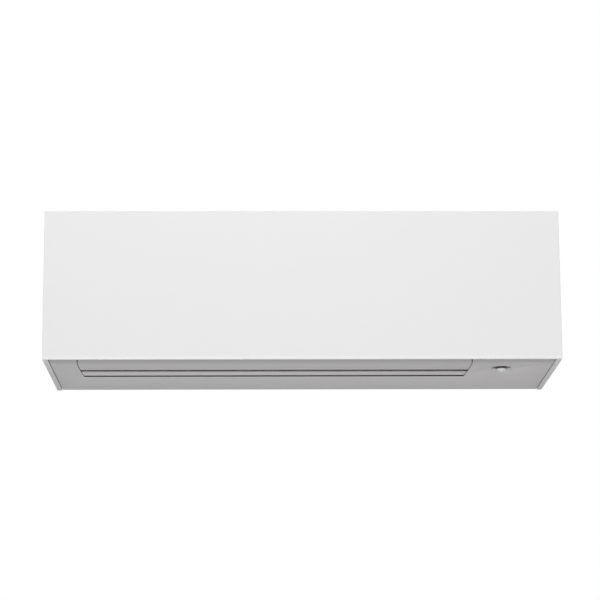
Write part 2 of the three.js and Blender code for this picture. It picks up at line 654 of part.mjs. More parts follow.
// Section of a flap: flat outer face, thinning towards both edges.
function flapSection(front, rear, thickness) {
  const steps = 8;
  const depths = count(steps + 1, (i) => front + ((rear - front) * i) / steps);
  const fullness = (i) => Math.pow(Math.sin((Math.PI * i) / steps), 0.6);
  const outer = depths.map((d) => [behindFace(d), skinZ(d)]);
  const inner = depths.map((d, i) => [
    behindFace(d), skinZ(d) + FLAP_EDGE + (thickness - FLAP_EDGE) * fullness(i)]);
  return [...outer, ...inner.reverse()];
}

const flapAxis = (depth) => [behindFace(depth), undersideZ(behindFace(depth)) + FLAP_AXIS_RISE];

function flap(front, rear, thickness, axisDepth, pinRight) {
  const [axisY, axisZ] = flapAxis(axisDepth);
  const plate = prismX(flapSection(front, rear, thickness), -ABOVE * 2, ABOVE * 2).intersect(
    prismZ(outletPlan(FLAP_END_GAP, front, rear), -ABOVE, ABOVE));
  const inset = outletInset(rear) + FLAP_END_GAP + 1;
  const earLeft = OUTLET_LEFT + inset;
  const earRight = OUTLET_RIGHT - inset;
  const ears = [earLeft, earRight - FLAP_EAR].map((x) => join(
    barX(FLAP_PIN + 2, axisY, axisZ, x, x + FLAP_EAR, 14),
    block(x, x + FLAP_EAR, axisY - FLAP_PIN - 2, axisY + FLAP_PIN + 2, skinZ(axisDepth) + 1,
      axisZ)));
  const pins = [
    barX(FLAP_PIN, axisY, axisZ, CHAMBER_LEFT - BULKHEAD - 1, earLeft + 1, 14),
    barX(FLAP_PIN, axisY, axisZ, earRight - 1, pinRight, 14),
  ];
  return join(plate, ears, pins);
}

const FLAP_MOTOR_GAP = 1;
const flapPinEnd = CHAMBER_RIGHT + BULKHEAD + FLAP_MOTOR_GAP;
const mainFlap = () => flap(OUTLET_FRONT + 0.8, FLAP_REAR, FLAP_THICKNESS, FLAP_AXIS_DEPTH,
  flapPinEnd);
const secondFlap = () => flap(SECOND_FRONT, SECOND_REAR, SECOND_THICKNESS, SECOND_AXIS_DEPTH,
  flapPinEnd);

// A small stepping motor whose shaft sits off its middle.
function flapMotor(depth) {
  const [y, z] = flapAxis(depth);
  const middle = z + STEP_MOTOR_OFFSET;
  const x0 = flapPinEnd + SEAT;
  const x1 = x0 + 2 + STEP_MOTOR_LENGTH;
  const body = barX(STEP_MOTOR_RADIUS, y, middle, x0 + 2, x1, 24);
  const boss = barX(4.5, y, z, x0, x0 + 3, 12);
  const ears = block(x0 + 2, x0 + 3.2, y - 3.5, y + 3.5, middle - 8, middle + 17);
  const socket = block(x1 - 9, x1 - 1, y - 6, y + 6, middle + 8, middle + 14.5);
  return join(body, boss, ears, socket);
}

// ---------------------------------------------------------------- chassis

const scrollRadius = (degrees) => FAN_RADIUS + SCROLL_GAP
  + (SCROLL_GROWTH * (SCROLL_START - degrees)) / (SCROLL_START - SCROLL_END);
const SCROLL_STEPS = 9;
const OUTLET_REAR_EDGE = [
  behindFace(OUTLET_REAR + 2), coverTop(behindFace(OUTLET_REAR + 2)) + 0.8];

// Inner face of the scroll, from the rear trough down to the outlet's rear edge.
function scrollLine(offset) {
  const step = (SCROLL_START - SCROLL_END) / SCROLL_STEPS;
  const curve = count(SCROLL_STEPS + 1, (i) => {
    const degrees = SCROLL_START - step * i;
    return polar(FAN_Y, FAN_Z, scrollRadius(degrees) + offset, degrees);
  });
  return [...curve, [OUTLET_REAR_EDGE[0] + offset, OUTLET_REAR_EDGE[1]]];
}

const SCROLL_TOP = polar(FAN_Y, FAN_Z, scrollRadius(SCROLL_START), SCROLL_START);
const REAR_HALF_WIDTH = sideX(CASING_REAR) - CASING_WALL - 0.5;

function rearCasing() {
  const top = TOP_Z - CASING_WALL - SEAT;
  const troughBack = BACK_Y;
  const troughFront = troughBack - TROUGH_DEPTH;
  const troughZ = SCROLL_TOP[1];
  const full = [-REAR_HALF_WIDTH, REAR_HALF_WIDTH];
  const backWall = prismX([[BACK_Y, CHANNEL_Z], [-BACK_SPACE, CHANNEL_Z], [-BACK_SPACE, top],
    [BACK_Y, top]], ...full);
  const scroll = prismX([...scrollLine(0), ...scrollLine(SCROLL_WALL).reverse()],
    CHAMBER_LEFT - 1, CHAMBER_RIGHT + 1);
  const trough = prismX([
    [SCROLL_TOP[0], troughZ - 1],
    [BACK_Y + 1, troughZ - 1],
    [BACK_Y + 1, troughZ + 2],
    [troughFront + 2.5, troughZ + 2],
    [troughFront + 2.5, troughZ + TROUGH_HEIGHT],
    [troughFront, troughZ + TROUGH_HEIGHT],
    [troughFront, troughZ],
  ], CHAMBER_LEFT - 1, CHAMBER_RIGHT + 1);
  const shelfFront = polar(FAN_Y, FAN_Z, scrollRadius(SCROLL_END) + 1, SCROLL_END)[0];
  const shelf = block(...full, shelfFront, -BACK_SPACE, CHANNEL_Z, CHANNEL_Z + BACK_WALL);
  const channelFoot = coverTop(shelfFront) + SEAT;
  const channelFronts = [[full[0], CHAMBER_LEFT], [CHAMBER_RIGHT, full[1]]].map(([x0, x1]) =>
    block(x0, x1, shelfFront, shelfFront + BACK_WALL, channelFoot, CHANNEL_Z + 1));
  const sides = [full[0], full[1] - BACK_WALL].map((x) => block(x, x + BACK_WALL,
    BACK_Y - CHASSIS_FLANGE, -BACK_SPACE, CHANNEL_Z, top));
  const topRim = block(...full, BACK_Y - CHASSIS_FLANGE, -BACK_SPACE, top - BACK_WALL, top);
  const ribs = count(5, (i) => {
    const x = CHAMBER_LEFT + ((i + 1) * (CHAMBER_RIGHT - CHAMBER_LEFT)) / 6;
    return block(x - 1, x + 1, SCROLL_TOP[0] + 6, BACK_Y + 1, FAN_Z + 8, troughZ);
  });
  const hooks = hookPlaces().map((x) => block(x - HOOK_WIDTH / 2 - 4, x + HOOK_WIDTH / 2 + 4,
    BACK_Y - 1, -BACK_SPACE + 1, HOOK_RISE - 12, HOOK_RISE + SEAT));
  const pipeHole = block(CHAMBER_RIGHT + BULKHEAD + 3, CHAMBER_RIGHT + BULKHEAD + 44,
    shelfFront + BACK_WALL + 2, BACK_Y, CHANNEL_Z - 1, CHANNEL_Z + BACK_WALL + 1);
  const bearingHole = barX(BEARING + SEAT, FAN_Y, FAN_Z, CHAMBER_LEFT - 10, CHAMBER_LEFT + 1, 20);
  const bossHole = barX(MOTOR_BOSS + 2, FAN_Y, FAN_Z, CHAMBER_RIGHT - 1, CHAMBER_RIGHT + 10, 20);
  const pinHoles = [FLAP_AXIS_DEPTH, SECOND_AXIS_DEPTH].map((depth) =>
    barX(FLAP_PIN + SEAT, ...flapAxis(depth), -ABOVE * 2, ABOVE * 2, 14));
  const bulkheads = [CHAMBER_LEFT - BULKHEAD, CHAMBER_RIGHT].map(
    (x) => cut(prismX(bulkheadOutline(), x, x + BULKHEAD), pinHoles));
  return cut(join(backWall, scroll, trough, shelf, channelFronts, sides, topRim, ribs, bulkheads),
    hooks, pipeHole, bearingHole, bossHole);
}

// The end wall of the air chamber stays inside the coil's inner faces.
function bulkheadOutline() {
  const { lower, upper, rear } = coilLines();
  const clear = COIL_THICKNESS / 2 + SEAT;
  const inside = (line, share) => {
    const along = unit(line.from, line.to);
    const [y, z] = between(line.from, line.to, share);
    return [y + along[1] * clear, z - along[0] * clear];
  };
  const foot = coverTop(behindFace(DUCT_FRONT + 1)) + 1.2;
  return [
    [BACK_Y + 1, CHANNEL_Z],
    [BACK_Y + 1, SCROLL_TOP[1] + 1],
    [BACK_Y - TROUGH_DEPTH + 1, SCROLL_TOP[1] + 1],
    [BACK_Y - TROUGH_DEPTH + 1, SCROLL_TOP[1] + TROUGH_HEIGHT],
    inside(rear, 0.9),
    inside(rear, 0.12),
    inside(upper, 0.9),
    inside(upper, 0.06),
    inside(lower, 0.94),
    inside(lower, -0.08),
    [behindFace(DUCT_FRONT + 1), DUCT_FOOT[1] + 22],
    [behindFace(DUCT_FRONT + 1), foot],
    [OUTLET_REAR_EDGE[0], OUTLET_REAR_EDGE[1]],
    [OUTLET_REAR_EDGE[0] + SCROLL_WALL, OUTLET_REAR_EDGE[1] + 2],
    polar(FAN_Y, FAN_Z, scrollRadius(SCROLL_END) + 2, SCROLL_END),
  ];
}

// Drip tray under the front coil, in one piece with the duct's front wall.
function drainPan() {
  const [trayY, coilFoot] = coilLines().lower.from;
  const trayHalf = COIL_THICKNESS / 2 + TRAY_MARGIN;
  const trayTop = coilFoot + TRAY_RISE;
  const trayBottom = coilFoot - TRAY_DROP;
  const x0 = CHAMBER_LEFT + SEAT;
  const x1 = CHAMBER_RIGHT - SEAT;
  const wall = [0, 0.2, 0.4, 0.62, 0.75, 0.88, 1].map((share) => {
    const [y, z] = between(TONGUE, DUCT_FOOT, share);
    const lift = share > 0.62 ? -DUCT_BOW * Math.sin(Math.PI * share) : 0;
    return [y + DUCT_INTO[0] * lift, z + DUCT_INTO[1] * lift];
  });
  const body = prismX([
    ...wall,
    [DUCT_FOOT[0] - 1, DUCT_FOOT[1] + 5],
    [trayY - trayHalf - TRAY_WALL, trayBottom - TRAY_SKIRT],
    [trayY - trayHalf - TRAY_WALL, trayTop],
    [trayY + trayHalf + TRAY_WALL + 0.5, trayTop],
    [TONGUE[0] - 6, TONGUE[1] + 5],
    [TONGUE[0] - 1.5, TONGUE[1] + 3],
  ], x0, x1);
  const hollow = block(x0 - 1, x1 + 1, trayY - trayHalf, trayY + trayHalf, trayBottom, trayTop + 1);
  const sockets = vanePlaces().map(({ x }) => bar(VANE_STEM + SEAT,
    ductPoint(x, 0, -1.5 - VANE_CLEARANCE - 3), ductPoint(x, 0, 1), 12));
  const drain = bar(DRAIN_RADIUS + SEAT,
    [CHAMBER_LEFT + DRAIN_INSET, trayY, trayBottom - PLUG_LENGTH - 0.4],
    [CHAMBER_LEFT + DRAIN_INSET, trayY, trayBottom + 1], 12);
  return cut(body, hollow, sockets, drain);
}

function drainPlug() {
  const [trayY, coilFoot] = coilLines().lower.from;
  const bottom = coilFoot - TRAY_DROP;
  const x = CHAMBER_LEFT + DRAIN_INSET;
  const plug = bar(DRAIN_RADIUS, [x, trayY, bottom - PLUG_LENGTH], [x, trayY, bottom + 1], 12);
  const head = bar(DRAIN_RADIUS + 2, [x, trayY, bottom + SEAT], [x, trayY, bottom + 2.5], 12);
  return join(plug, head);
}

// ---------------------------------------------------------------- air direction blades

const VANE_ORIGIN = between(TONGUE, DUCT_FOOT, VANE_PLACE);

// A place on the duct's front wall: along the flow, and out into the duct.
function ductPoint(x, along, into) {
  return [
    x,
    VANE_ORIGIN[0] + DUCT_ALONG[0] * along + DUCT_INTO[0] * into,
    VANE_ORIGIN[1] + DUCT_ALONG[1] * along + DUCT_INTO[1] * into,
  ];
}

function vanePlaces() {
  const groupWidth = VANE_PITCH * (VANES_PER_GROUP - 1);
  const offset = (VANE_PITCH * VANES_PER_GROUP) / 2;
  return ['left', 'right'].flatMap((group, g) => count(VANES_PER_GROUP, (i) => ({
    name: `blade_${group}_${i + 1}`,
    x: OUTLET_MIDDLE + (g ? offset : -offset) - groupWidth / 2 + VANE_PITCH * i,
    grip: i === 2,
  })));
}

// An outline in [along, into] beside the duct wall, of a thickness across X.
function ductPlate(outline, x0, x1) {
  return prismX(outline.map(([a, n]) => ductPoint(0, a, n).slice(1)), x0, x1);
}

function vane({ x, grip }) {
  const half = VANE_THICKNESS / 2;
  const low = VANE_CLEARANCE;
  const outline = [
    [-VANE_UPSTREAM, low],
    [VANE_DOWNSTREAM - 6, low],
    [VANE_DOWNSTREAM, low + 8],
    [VANE_DOWNSTREAM - 2, VANE_REACH - 4],
    [VANE_DOWNSTREAM - 8, VANE_REACH],
    [-VANE_UPSTREAM + 5, VANE_REACH - 6],
    [-VANE_UPSTREAM, VANE_REACH - 14],
  ];
  const blade = ductPlate(outline, x - half, x + half);
  const stem = bar(VANE_STEM, ductPoint(x, 0, -4), ductPoint(x, 0, low + 3), 6);
  const tabLow = LINK_HEIGHT + LINK_THICKNESS + SEAT;
  const tab = ductPlate([
    [-LINK_ARM - 2.4, tabLow],
    [-VANE_UPSTREAM + 2, tabLow],
    [-VANE_UPSTREAM + 2, tabLow + 2.2],
    [-LINK_ARM - 2.4, tabLow + 2.2],
  ], x - 2.2, x + 2.2);
  const pin = bar(LINK_PIN, ductPoint(x, -LINK_ARM, LINK_HEIGHT - 0.5),
    ductPoint(x, -LINK_ARM, tabLow + 1), 6);
  const whole = join(blade, stem, tab, pin);
  if (!grip) return whole;
  return join(whole, ductPlate([
    [VANE_DOWNSTREAM - 12, VANE_REACH * 0.55],
    [VANE_DOWNSTREAM - 1, VANE_REACH * 0.55],
    [VANE_DOWNSTREAM - 1, VANE_REACH * 0.75],
    [VANE_DOWNSTREAM - 12, VANE_REACH * 0.75],
  ], x - VANE_GRIP, x + VANE_GRIP));
}

function linkRod(group) {
  const places = vanePlaces().filter(({ name }) => name.startsWith(`blade_${group}`));
  const first = places[0].x - 7;
  const last = places[places.length - 1].x + 7;
  const half = LINK_WIDTH / 2;
  const rod = ductPlate([
    [-LINK_ARM - half, LINK_HEIGHT],
    [-LINK_ARM + half, LINK_HEIGHT],
    [-LINK_ARM + half, LINK_HEIGHT + LINK_THICKNESS],
    [-LINK_ARM - half, LINK_HEIGHT + LINK_THICKNESS],
  ], first, last);
  const holes = places.map(({ x }) => bar(LINK_PIN + 0.5, ductPoint(x, -LINK_ARM, LINK_HEIGHT - 2),
    ductPoint(x, -LINK_ARM, LINK_HEIGHT + LINK_THICKNESS + 2), 6));
  return cut(rod, holes);
}

// ---------------------------------------------------------------- fan

const FAN_LEFT = CHAMBER_LEFT + FAN_END_GAP;
const FAN_RIGHT = CHAMBER_RIGHT - FAN_END_GAP;

// One forward-curved blade in [y, z] about the shaft.
function fanBlade(degrees) {
  const stations = [0, 0.5, 1];
  const inner = FAN_RADIUS - 1 - BLADE_CHORD;
  const side = (share, sign) => {
    const radius = inner + BLADE_CHORD * share;
    const swell = share === 0.5 ? 1 : 0.55;
    const half = THREE.MathUtils.radToDeg((BLADE_THICKNESS / 2) * swell / radius);
    return polar(FAN_Y, FAN_Z, radius, degrees - BLADE_SWEEP * share * share + sign * half);
  };
  return [...stations.map((s) => side(s, 1)), ...stations.reverse().map((s) => side(s, -1))];
}

function crossflowFan() {
  const section = (FAN_RIGHT - FAN_LEFT - FAN_DISC) / FAN_SECTIONS;
  const discs = count(FAN_SECTIONS + 1, (i) => {
    const x = FAN_LEFT + section * i;
    const end = i === 0 || i === FAN_SECTIONS;
    const bore = end ? [] : [circleOutline(FAN_Y, FAN_Z, FAN_RADIUS * 0.66, 16)];
    return prismX(circleOutline(FAN_Y, FAN_Z, FAN_RADIUS, 28), x, x + FAN_DISC, bore);
  });
  const blades = count(FAN_BLADES, (i) => prismX(fanBlade((360 * i) / FAN_BLADES),
    FAN_LEFT + 0.5, FAN_RIGHT - 0.5));
  const stub = barX(SHAFT, FAN_Y, FAN_Z, CHAMBER_LEFT - BULKHEAD - 3, FAN_LEFT + 1, 12);
  const leftBoss = barX(12, FAN_Y, FAN_Z, FAN_LEFT - 4, FAN_LEFT + 1, 16);
  const hub = barX(14, FAN_Y, FAN_Z, FAN_RIGHT - 18, FAN_RIGHT + 3, 16);
  const bore = barX(SHAFT + SEAT, FAN_Y, FAN_Z, FAN_RIGHT - 16, FAN_RIGHT + 10, 12);
  return cut(join(discs[0], discs.slice(1), blades, stub, leftBoss, hub), bore);
}

function fanBearing() {
  const seat = barX(BEARING, FAN_Y, FAN_Z, CHAMBER_LEFT - BULKHEAD - 4, CHAMBER_LEFT + 1.5, 24);
  const flange = barX(BEARING + 4, FAN_Y, FAN_Z, CHAMBER_LEFT - BULKHEAD - 4,
    CHAMBER_LEFT - BULKHEAD - SEAT, 24);
  const bore = barX(SHAFT + SEAT, FAN_Y, FAN_Z, CHAMBER_LEFT - 20, CHAMBER_LEFT + 10, 12);
  return cut(join(seat, flange), bore);
}

const MOTOR_X = CHAMBER_RIGHT + BULKHEAD + 6;

function fanMotor() {
  const body = barX(MOTOR_RADIUS, FAN_Y, FAN_Z, MOTOR_X + 4, MOTOR_X + MOTOR_LENGTH - 4, 20);
  const waist = barX(MOTOR_RADIUS - 4, FAN_Y, FAN_Z, MOTOR_X, MOTOR_X + MOTOR_LENGTH, 20);
  const boss = barX(MOTOR_BOSS, FAN_Y, FAN_Z, MOTOR_X - 8, MOTOR_X + 1, 16);
  const rearBoss = barX(MOTOR_BOSS, FAN_Y, FAN_Z, MOTOR_X + MOTOR_LENGTH - 1,
    MOTOR_X + MOTOR_LENGTH + 7, 16);
  const shaft = barX(SHAFT, FAN_Y, FAN_Z, FAN_RIGHT - 14, MOTOR_X, 12);
  return join(body, waist, boss, rearBoss, shaft);
}

// Strap over the motor, screwed to the right bulkhead with its two feet.
function motorBracket() {
  const x0 = CHAMBER_RIGHT + BULKHEAD + SEAT;
  const x1 = MOTOR_X + MOTOR_LENGTH * 0.6;
  const ring = cut(barX(MOTOR_RADIUS + 3, FAN_Y, FAN_Z, x0, x1, 20),
    barX(MOTOR_RADIUS + SEAT, FAN_Y, FAN_Z, x0 - 1, x1 + 1, 20));
  const windows = [-1, 1].map((side) => block(MOTOR_X + 12, x1 - 6, FAN_Y - ABOVE, FAN_Y + ABOVE,
    FAN_Z + side * 16 - 7, FAN_Z + side * 16 + 7));
  const plate = cut(prismX(circleOutline(FAN_Y, FAN_Z, MOTOR_RADIUS + 3, 20), x0, x0 + 2),
    barX(MOTOR_BOSS + 4, FAN_Y, FAN_Z, x0 - 1, x0 + 3, 16));
  return join(cut(ring, windows), plate);
}

// ---------------------------------------------------------------- heat exchanger

// Middle lines of the three fin blocks in [y, z], each run so that the fan is on its right.
function coilLines() {
  const frontY = behindFace(COIL_FRONT);
  const trayRear = frontY + COIL_THICKNESS / 2 + TRAY_MARGIN;
  const ductZ = TONGUE[1] + ((trayRear - TONGUE[0]) * DUCT_ALONG[1]) / DUCT_ALONG[0];
  const lowFoot = ductZ + TRAY_LIFT + TRAY_DROP;
  const lowHead = FOOT_Z + COIL_SPLIT;
  const topZ = TOP_Z - FILTER_DROP - COIL_THICKNESS * 0.8;
  const half = COIL_THICKNESS / 2;
  return {
    lower: { from: [frontY, lowFoot], to: [frontY, lowHead] },
    upper: { from: [frontY + half * 0.35, lowHead + half + COIL_SLOT],
      to: [FAN_Y - half - 16, topZ] },
    rear: { from: [FAN_Y - 3, topZ],
      to: [BACK_Y - TROUGH_DEPTH * 0.6, SCROLL_TOP[1] + TROUGH_HEIGHT + 14] },
  };
}

const COIL_LEFT = CHAMBER_LEFT - BULKHEAD - COIL_OVERHANG;
const COIL_RIGHT = CHAMBER_RIGHT + BULKHEAD + COIL_OVERHANG;

// A fin block: grooves across its outer face part the packs of fins.
function coilBlock({ from, to }) {
  const length = Math.hypot(to[0] - from[0], to[1] - from[1]);
  const half = COIL_THICKNESS / 2;
  const pitch = (COIL_RIGHT - COIL_LEFT) / (COIL_GROOVES + 1);
  const comb = [[COIL_LEFT, -half], [COIL_RIGHT, -half], [COIL_RIGHT, half]];
  for (let i = COIL_GROOVES; i > 0; i -= 1) {
    const x = COIL_LEFT + pitch * i;
    comb.push([x + 1.5, half], [x + 1.5, half - COIL_GROOVE]);
    comb.push([x - 1.5, half - COIL_GROOVE], [x - 1.5, half]);
  }
  comb.push([COIL_LEFT, half]);
  const geometry = extruded(comb, length);
  // the comb lies in x and thickness; turn it so that its height runs along the block
  const [dy, dz] = unit(from, to);
  const turn = new THREE.Matrix4().set(1, 0, 0, 0, 0, -dz, dy, from[0], 0, dy, dz, from[1],
    0, 0, 0, 1);
  geometry.applyMatrix4(turn);
  return solid(flipIfMirrored(geometry, turn));
}

// A mirrored placement turns the faces inside out, so their order is swapped back.
function flipIfMirrored(geometry, matrix) {
  if (matrix.determinant() > 0) return geometry;
  const position = geometry.attributes.position;
  const flipped = new Float32Array(position.array.length);
  for (let i = 0; i < position.count; i += 3) {
    [0, 2, 1].forEach((from, to) => {
      flipped.set(position.array.subarray((i + from) * 3, (i + from) * 3 + 3), (i + to) * 3);
    });
  }
  const result = new THREE.BufferGeometry();
  result.setAttribute('position', new THREE.BufferAttribute(flipped, 3));
  return result;
}

// Sheet at one end of the three blocks, with the return bends of the tubes.
function coilPlate(side) {
  const inner = side < 0 ? COIL_LEFT - SEAT : COIL_RIGHT + SEAT;
  const [x0, x1] = side < 0 ? [inner - COIL_END_PLATE, inner] : [inner, inner + COIL_END_PLATE];
  const lines = Object.values(coilLines());
  const half = COIL_THICKNESS / 2;
  const strips = lines.map(({ from, to }) => {
    const [dy, dz] = unit(from, to);
    const corner = (end, reach, across) => [
      end[0] + dy * reach - dz * across, end[1] + dz * reach + dy * across];
    return prismX([corner(from, -4, half), corner(from, -4, -half), corner(to, 4, -half),
      corner(to, 4, half)], x0, x1);
  });
  const apex = prismX([
    [lines[1].to[0] - 4, lines[1].to[1] - 12],
    [lines[2].from[0] + 4, lines[2].from[1] - 12],
    [lines[2].from[0] + 4, lines[2].from[1] + 6],
    [lines[1].to[0] - 4, lines[1].to[1] + 6],
  ], x0, x1);
  const knee = prismX([
    [lines[0].to[0] - 8, lines[0].to[1] - 6],
    [lines[0].to[0] + 8, lines[0].to[1] - 6],
    [lines[1].from[0] + 8, lines[1].from[1] + 2],
    [lines[1].from[0] - 8, lines[1].from[1] + 2],
  ], x0, x1);
  const outward = side < 0 ? x0 : x1;
  const bends = lines.flatMap((line) => [0.3, 0.7].map((share) =>
    returnBend(line, share, outward, side)));
  return join(strips[0], strips.slice(1), knee, apex, bends);
}

function returnBend({ from, to }, share, x, side) {
  const [dy, dz] = unit(from, to);
  const [y, z] = between(from, to, share);
  const at = (along, out) => new THREE.Vector3(x + side * out, y + dy * along, z + dz * along);
  const bulge = BEND_RADIUS * 1.3;
  const curve = new THREE.CubicBezierCurve3(at(-BEND_RADIUS, -0.7), at(-BEND_RADIUS, bulge),
    at(BEND_RADIUS, bulge), at(BEND_RADIUS, -0.7));
  return sweep(curve.getPoints(5), BEND_PIPE, 5);
}

const PLATE_OUT = COIL_RIGHT + SEAT + COIL_END_PLATE;

// Both pipes leave the right end plate and turn down into the channel behind the chassis.
function pipeRoute(radius, share, drop, reach, end) {
  const { from, to } = coilLines().rear;
  const [y, z] = between(from, to, share);
  const backY = BACK_Y - radius - 5;
  const channelY = -BACK_SPACE - radius - 6;
  const channelZ = CHANNEL_Z - drop;
  return [
    [PLATE_OUT + SEAT, y, z],
    [PLATE_OUT + reach, y, z],
    [PLATE_OUT + reach, backY, z - 26],
    [PLATE_OUT + reach, channelY, channelZ],
    [end, channelY, channelZ],
  ];
}

const GAS_END = CHAMBER_RIGHT - 216;
const LIQUID_END = CHAMBER_RIGHT - 166;
const NUT_LENGTH = 20;
const gasRoute = () => pipeRoute(GAS_PIPE, 0.48, 26, 16, GAS_END);
const liquidRoute = () => pipeRoute(LIQUID_PIPE, 0.85, 52, 30, LIQUID_END);

function flareNut(route, radius) {
  const [x, y, z] = route[route.length - 1];
  const nut = barX(radius * 1.75, y, z, x - NUT_LENGTH - SEAT, x - SEAT, 6);
  const bore = barX(radius * 0.7, y, z, x - NUT_LENGTH - 1, x - NUT_LENGTH * 0.35, 10);
  return cut(nut, bore);
}

// ---------------------------------------------------------------- filters

function filterLine(offset) {
  const frontY = FRAME_Y + CASING_WALL + SEAT + FILTER_THICKNESS / 2;
  const topZ = TOP_Z - FILTER_DROP;
  const footZ = FOOT_Z + ACCESS_BOTTOM - FILTER_FOOT;
  const centre = [frontY + FILTER_BEND, topZ - FILTER_BEND];
  const arc = count(7, (i) => polar(...centre, FILTER_BEND + offset, 180 - 15 * i));
  return [[frontY - offset, footZ], ...arc, [-FAN_TO_WALL * 0.6, topZ + offset]];
}

function airFilter(side) {
  const half = FILTER_THICKNESS / 2;
  const outer = side < 0 ? CHAMBER_LEFT + 4 : CHAMBER_RIGHT - 4;
  const inner = OUTLET_MIDDLE + side * 1;
  const [x0, x1] = side < 0 ? [outer, inner] : [inner, outer];
  const sheet = prismX([...filterLine(half), ...filterLine(-half).reverse()], x0, x1);
  const line = filterLine(0);
  const foot = line[0];
  const bendStart = line[1];
  const bendEnd = line[line.length - 2];
  const rear = line[line.length - 1];
  const cellX = (x1 - x0 - 2 * FILTER_BORDER + FILTER_RIB) / FILTER_COLUMNS;
  const cells = (from, to, rows, make) => {
    const cell = (to - from - 2 * FILTER_BORDER + FILTER_RIB) / rows;
    return count(rows * FILTER_COLUMNS, (i) => {
      const left = x0 + FILTER_BORDER + cellX * (i % FILTER_COLUMNS);
      const low = from + FILTER_BORDER + cell * Math.floor(i / FILTER_COLUMNS);
      return make(left, left + cellX - FILTER_RIB, low, low + cell - FILTER_RIB);
    });
  };
  const frontCells = cells(foot[1], bendStart[1], FILTER_ROWS, (a, b, low, high) =>
    block(a, b, foot[0] - 5, foot[0] + 5, low, high));
  const topCells = cells(bendEnd[0], rear[0], FILTER_TOP_ROWS, (a, b, low, high) =>
    block(a, b, low, high, rear[1] - 5, rear[1] + 5));
  return cut(sheet, frontCells, topCells);
}

// ---------------------------------------------------------------- electrical parts

const BOX_Y = behindFace(BOX_FRONT);
const BOX_Z0 = FOOT_Z + BOX_FOOT;
const BOX_Z1 = TOP_Z - BOX_HEAD;

function electricalBox() {
  const back = BOX_Y + BOX_DEPTH;
  const outer = block(BOX_LEFT, BOX_RIGHT, BOX_Y + BOX_WALL + SEAT, back, BOX_Z0, BOX_Z1);
  const inner = block(BOX_LEFT + BOX_WALL, BOX_RIGHT - BOX_WALL, BOX_Y, back - BOX_WALL,
    BOX_Z0 + BOX_WALL, BOX_Z1 - BOX_WALL);
  const apron = block(BOX_LEFT, BOX_RIGHT, back - BOX_WALL, back, BOX_Z0 - BOX_APRON, BOX_Z0 + 1);
  const shelf = block(BOX_LEFT, BOX_RIGHT, BOX_Y + 24, back, BOX_Z0 - BOX_APRON,
    BOX_Z0 - BOX_APRON + BOX_WALL);
  const posts = boardPosts().map(([x, z]) => bar(2.5, [x, back - BOX_WALL - BOARD_POST, z],
    [x, back - 1, z], 8));
  const leg = block(BOX_RIGHT - 22, BOX_RIGHT - 19, back - BOX_WALL, BACK_Y - SEAT, BOX_Z0,
    BOX_Z0 + BOX_LEG);
  return join(cut(outer, inner), apron, shelf, posts, leg);
}

function boardPosts() {
  const xs = [BOX_LEFT + BOARD_POST_INSET, BOX_RIGHT - BOARD_POST_INSET];
  const zs = [BOX_Z0 + BOARD_POST_INSET, BOX_Z1 - BOARD_POST_INSET];
  return xs.flatMap((x) => zs.map((z) => [x, z]));
}

function electricalCover() {
  const lid = block(BOX_LEFT, BOX_RIGHT, BOX_Y, BOX_Y + BOX_WALL, BOX_Z0, BOX_Z1);
  const tongue = block(BOX_LEFT + BOX_WALL + SEAT, BOX_RIGHT - BOX_WALL - SEAT, BOX_Y + 1,
    BOX_Y + BOX_WALL + 4, BOX_Z1 - BOX_WALL - SEAT - 1.5, BOX_Z1 - BOX_WALL - SEAT);
  const ribs = [0.3, 0.5, 0.7].map((share) => {
    const z = BOX_Z0 + (BOX_Z1 - BOX_Z0) * share;
    return block(BOX_LEFT + 10, BOX_RIGHT - 10, BOX_Y - 0.8, BOX_Y + 0.5, z - 1, z + 1);
  });
  return join(lid, tongue, ribs);
}

function controlBoard() {
  const back = BOX_Y + BOX_DEPTH - BOX_WALL - BOARD_POST - SEAT;
  const x0 = BOX_LEFT + BOX_WALL + BOARD_MARGIN;
  const x1 = BOX_RIGHT - BOX_WALL - BOARD_MARGIN;
  const z0 = BOX_Z0 + BOX_WALL + BOARD_MARGIN;
  const z1 = BOX_Z1 - BOX_WALL - BOARD_MARGIN;
  const board = block(x0, x1, back - BOARD_THICKNESS, back, z0, z1);
  const face = back - 1.2;
  const xAt = (share) => x0 + (x1 - x0) * share;
  const capacitorZ = z0 + (z1 - z0) / 4;
  const capacitors = [0.22, 0.4].map((share) => bar(CAPACITOR_RADIUS,
    [xAt(share), face, capacitorZ], [xAt(share), face - CAPACITOR_HEIGHT, capacitorZ], 14));
  const relays = [0.15, 0.4, 0.65].map((share) => block(xAt(share), xAt(share) + RELAY[0],
    face - RELAY[1], face, z1 - 8 - RELAY[2], z1 - 8));
  const plugs = [0.1, 0.3, 0.5, 0.7].map((share) => block(xAt(share), xAt(share) + PLUG[0],
    face - PLUG[1], face, z0 + 72, z0 + 72 + PLUG[2]));
  return join(board, capacitors, relays, cooler(x1 - 34, face, z0 + 20), plugs);
}

// Finned aluminium block on the board.
function cooler(x, face, z) {
  const base = block(x, x + 25, face - 3, face, z, z + COOLER_LENGTH);
  const fins = count(4, (i) => block(x + i * COOLER_FIN_PITCH, x + 2 + i * COOLER_FIN_PITCH,
    face - COOLER_HEIGHT, face, z, z + COOLER_LENGTH));
  return join(base, fins);
}

const shelfTop = () => BOX_Z0 - BOX_APRON + BOX_WALL + SEAT;
const terminalSpan = () => [BOX_LEFT + 8, BOX_LEFT + 10 + TERMINAL_WAYS * TERMINAL_PITCH];

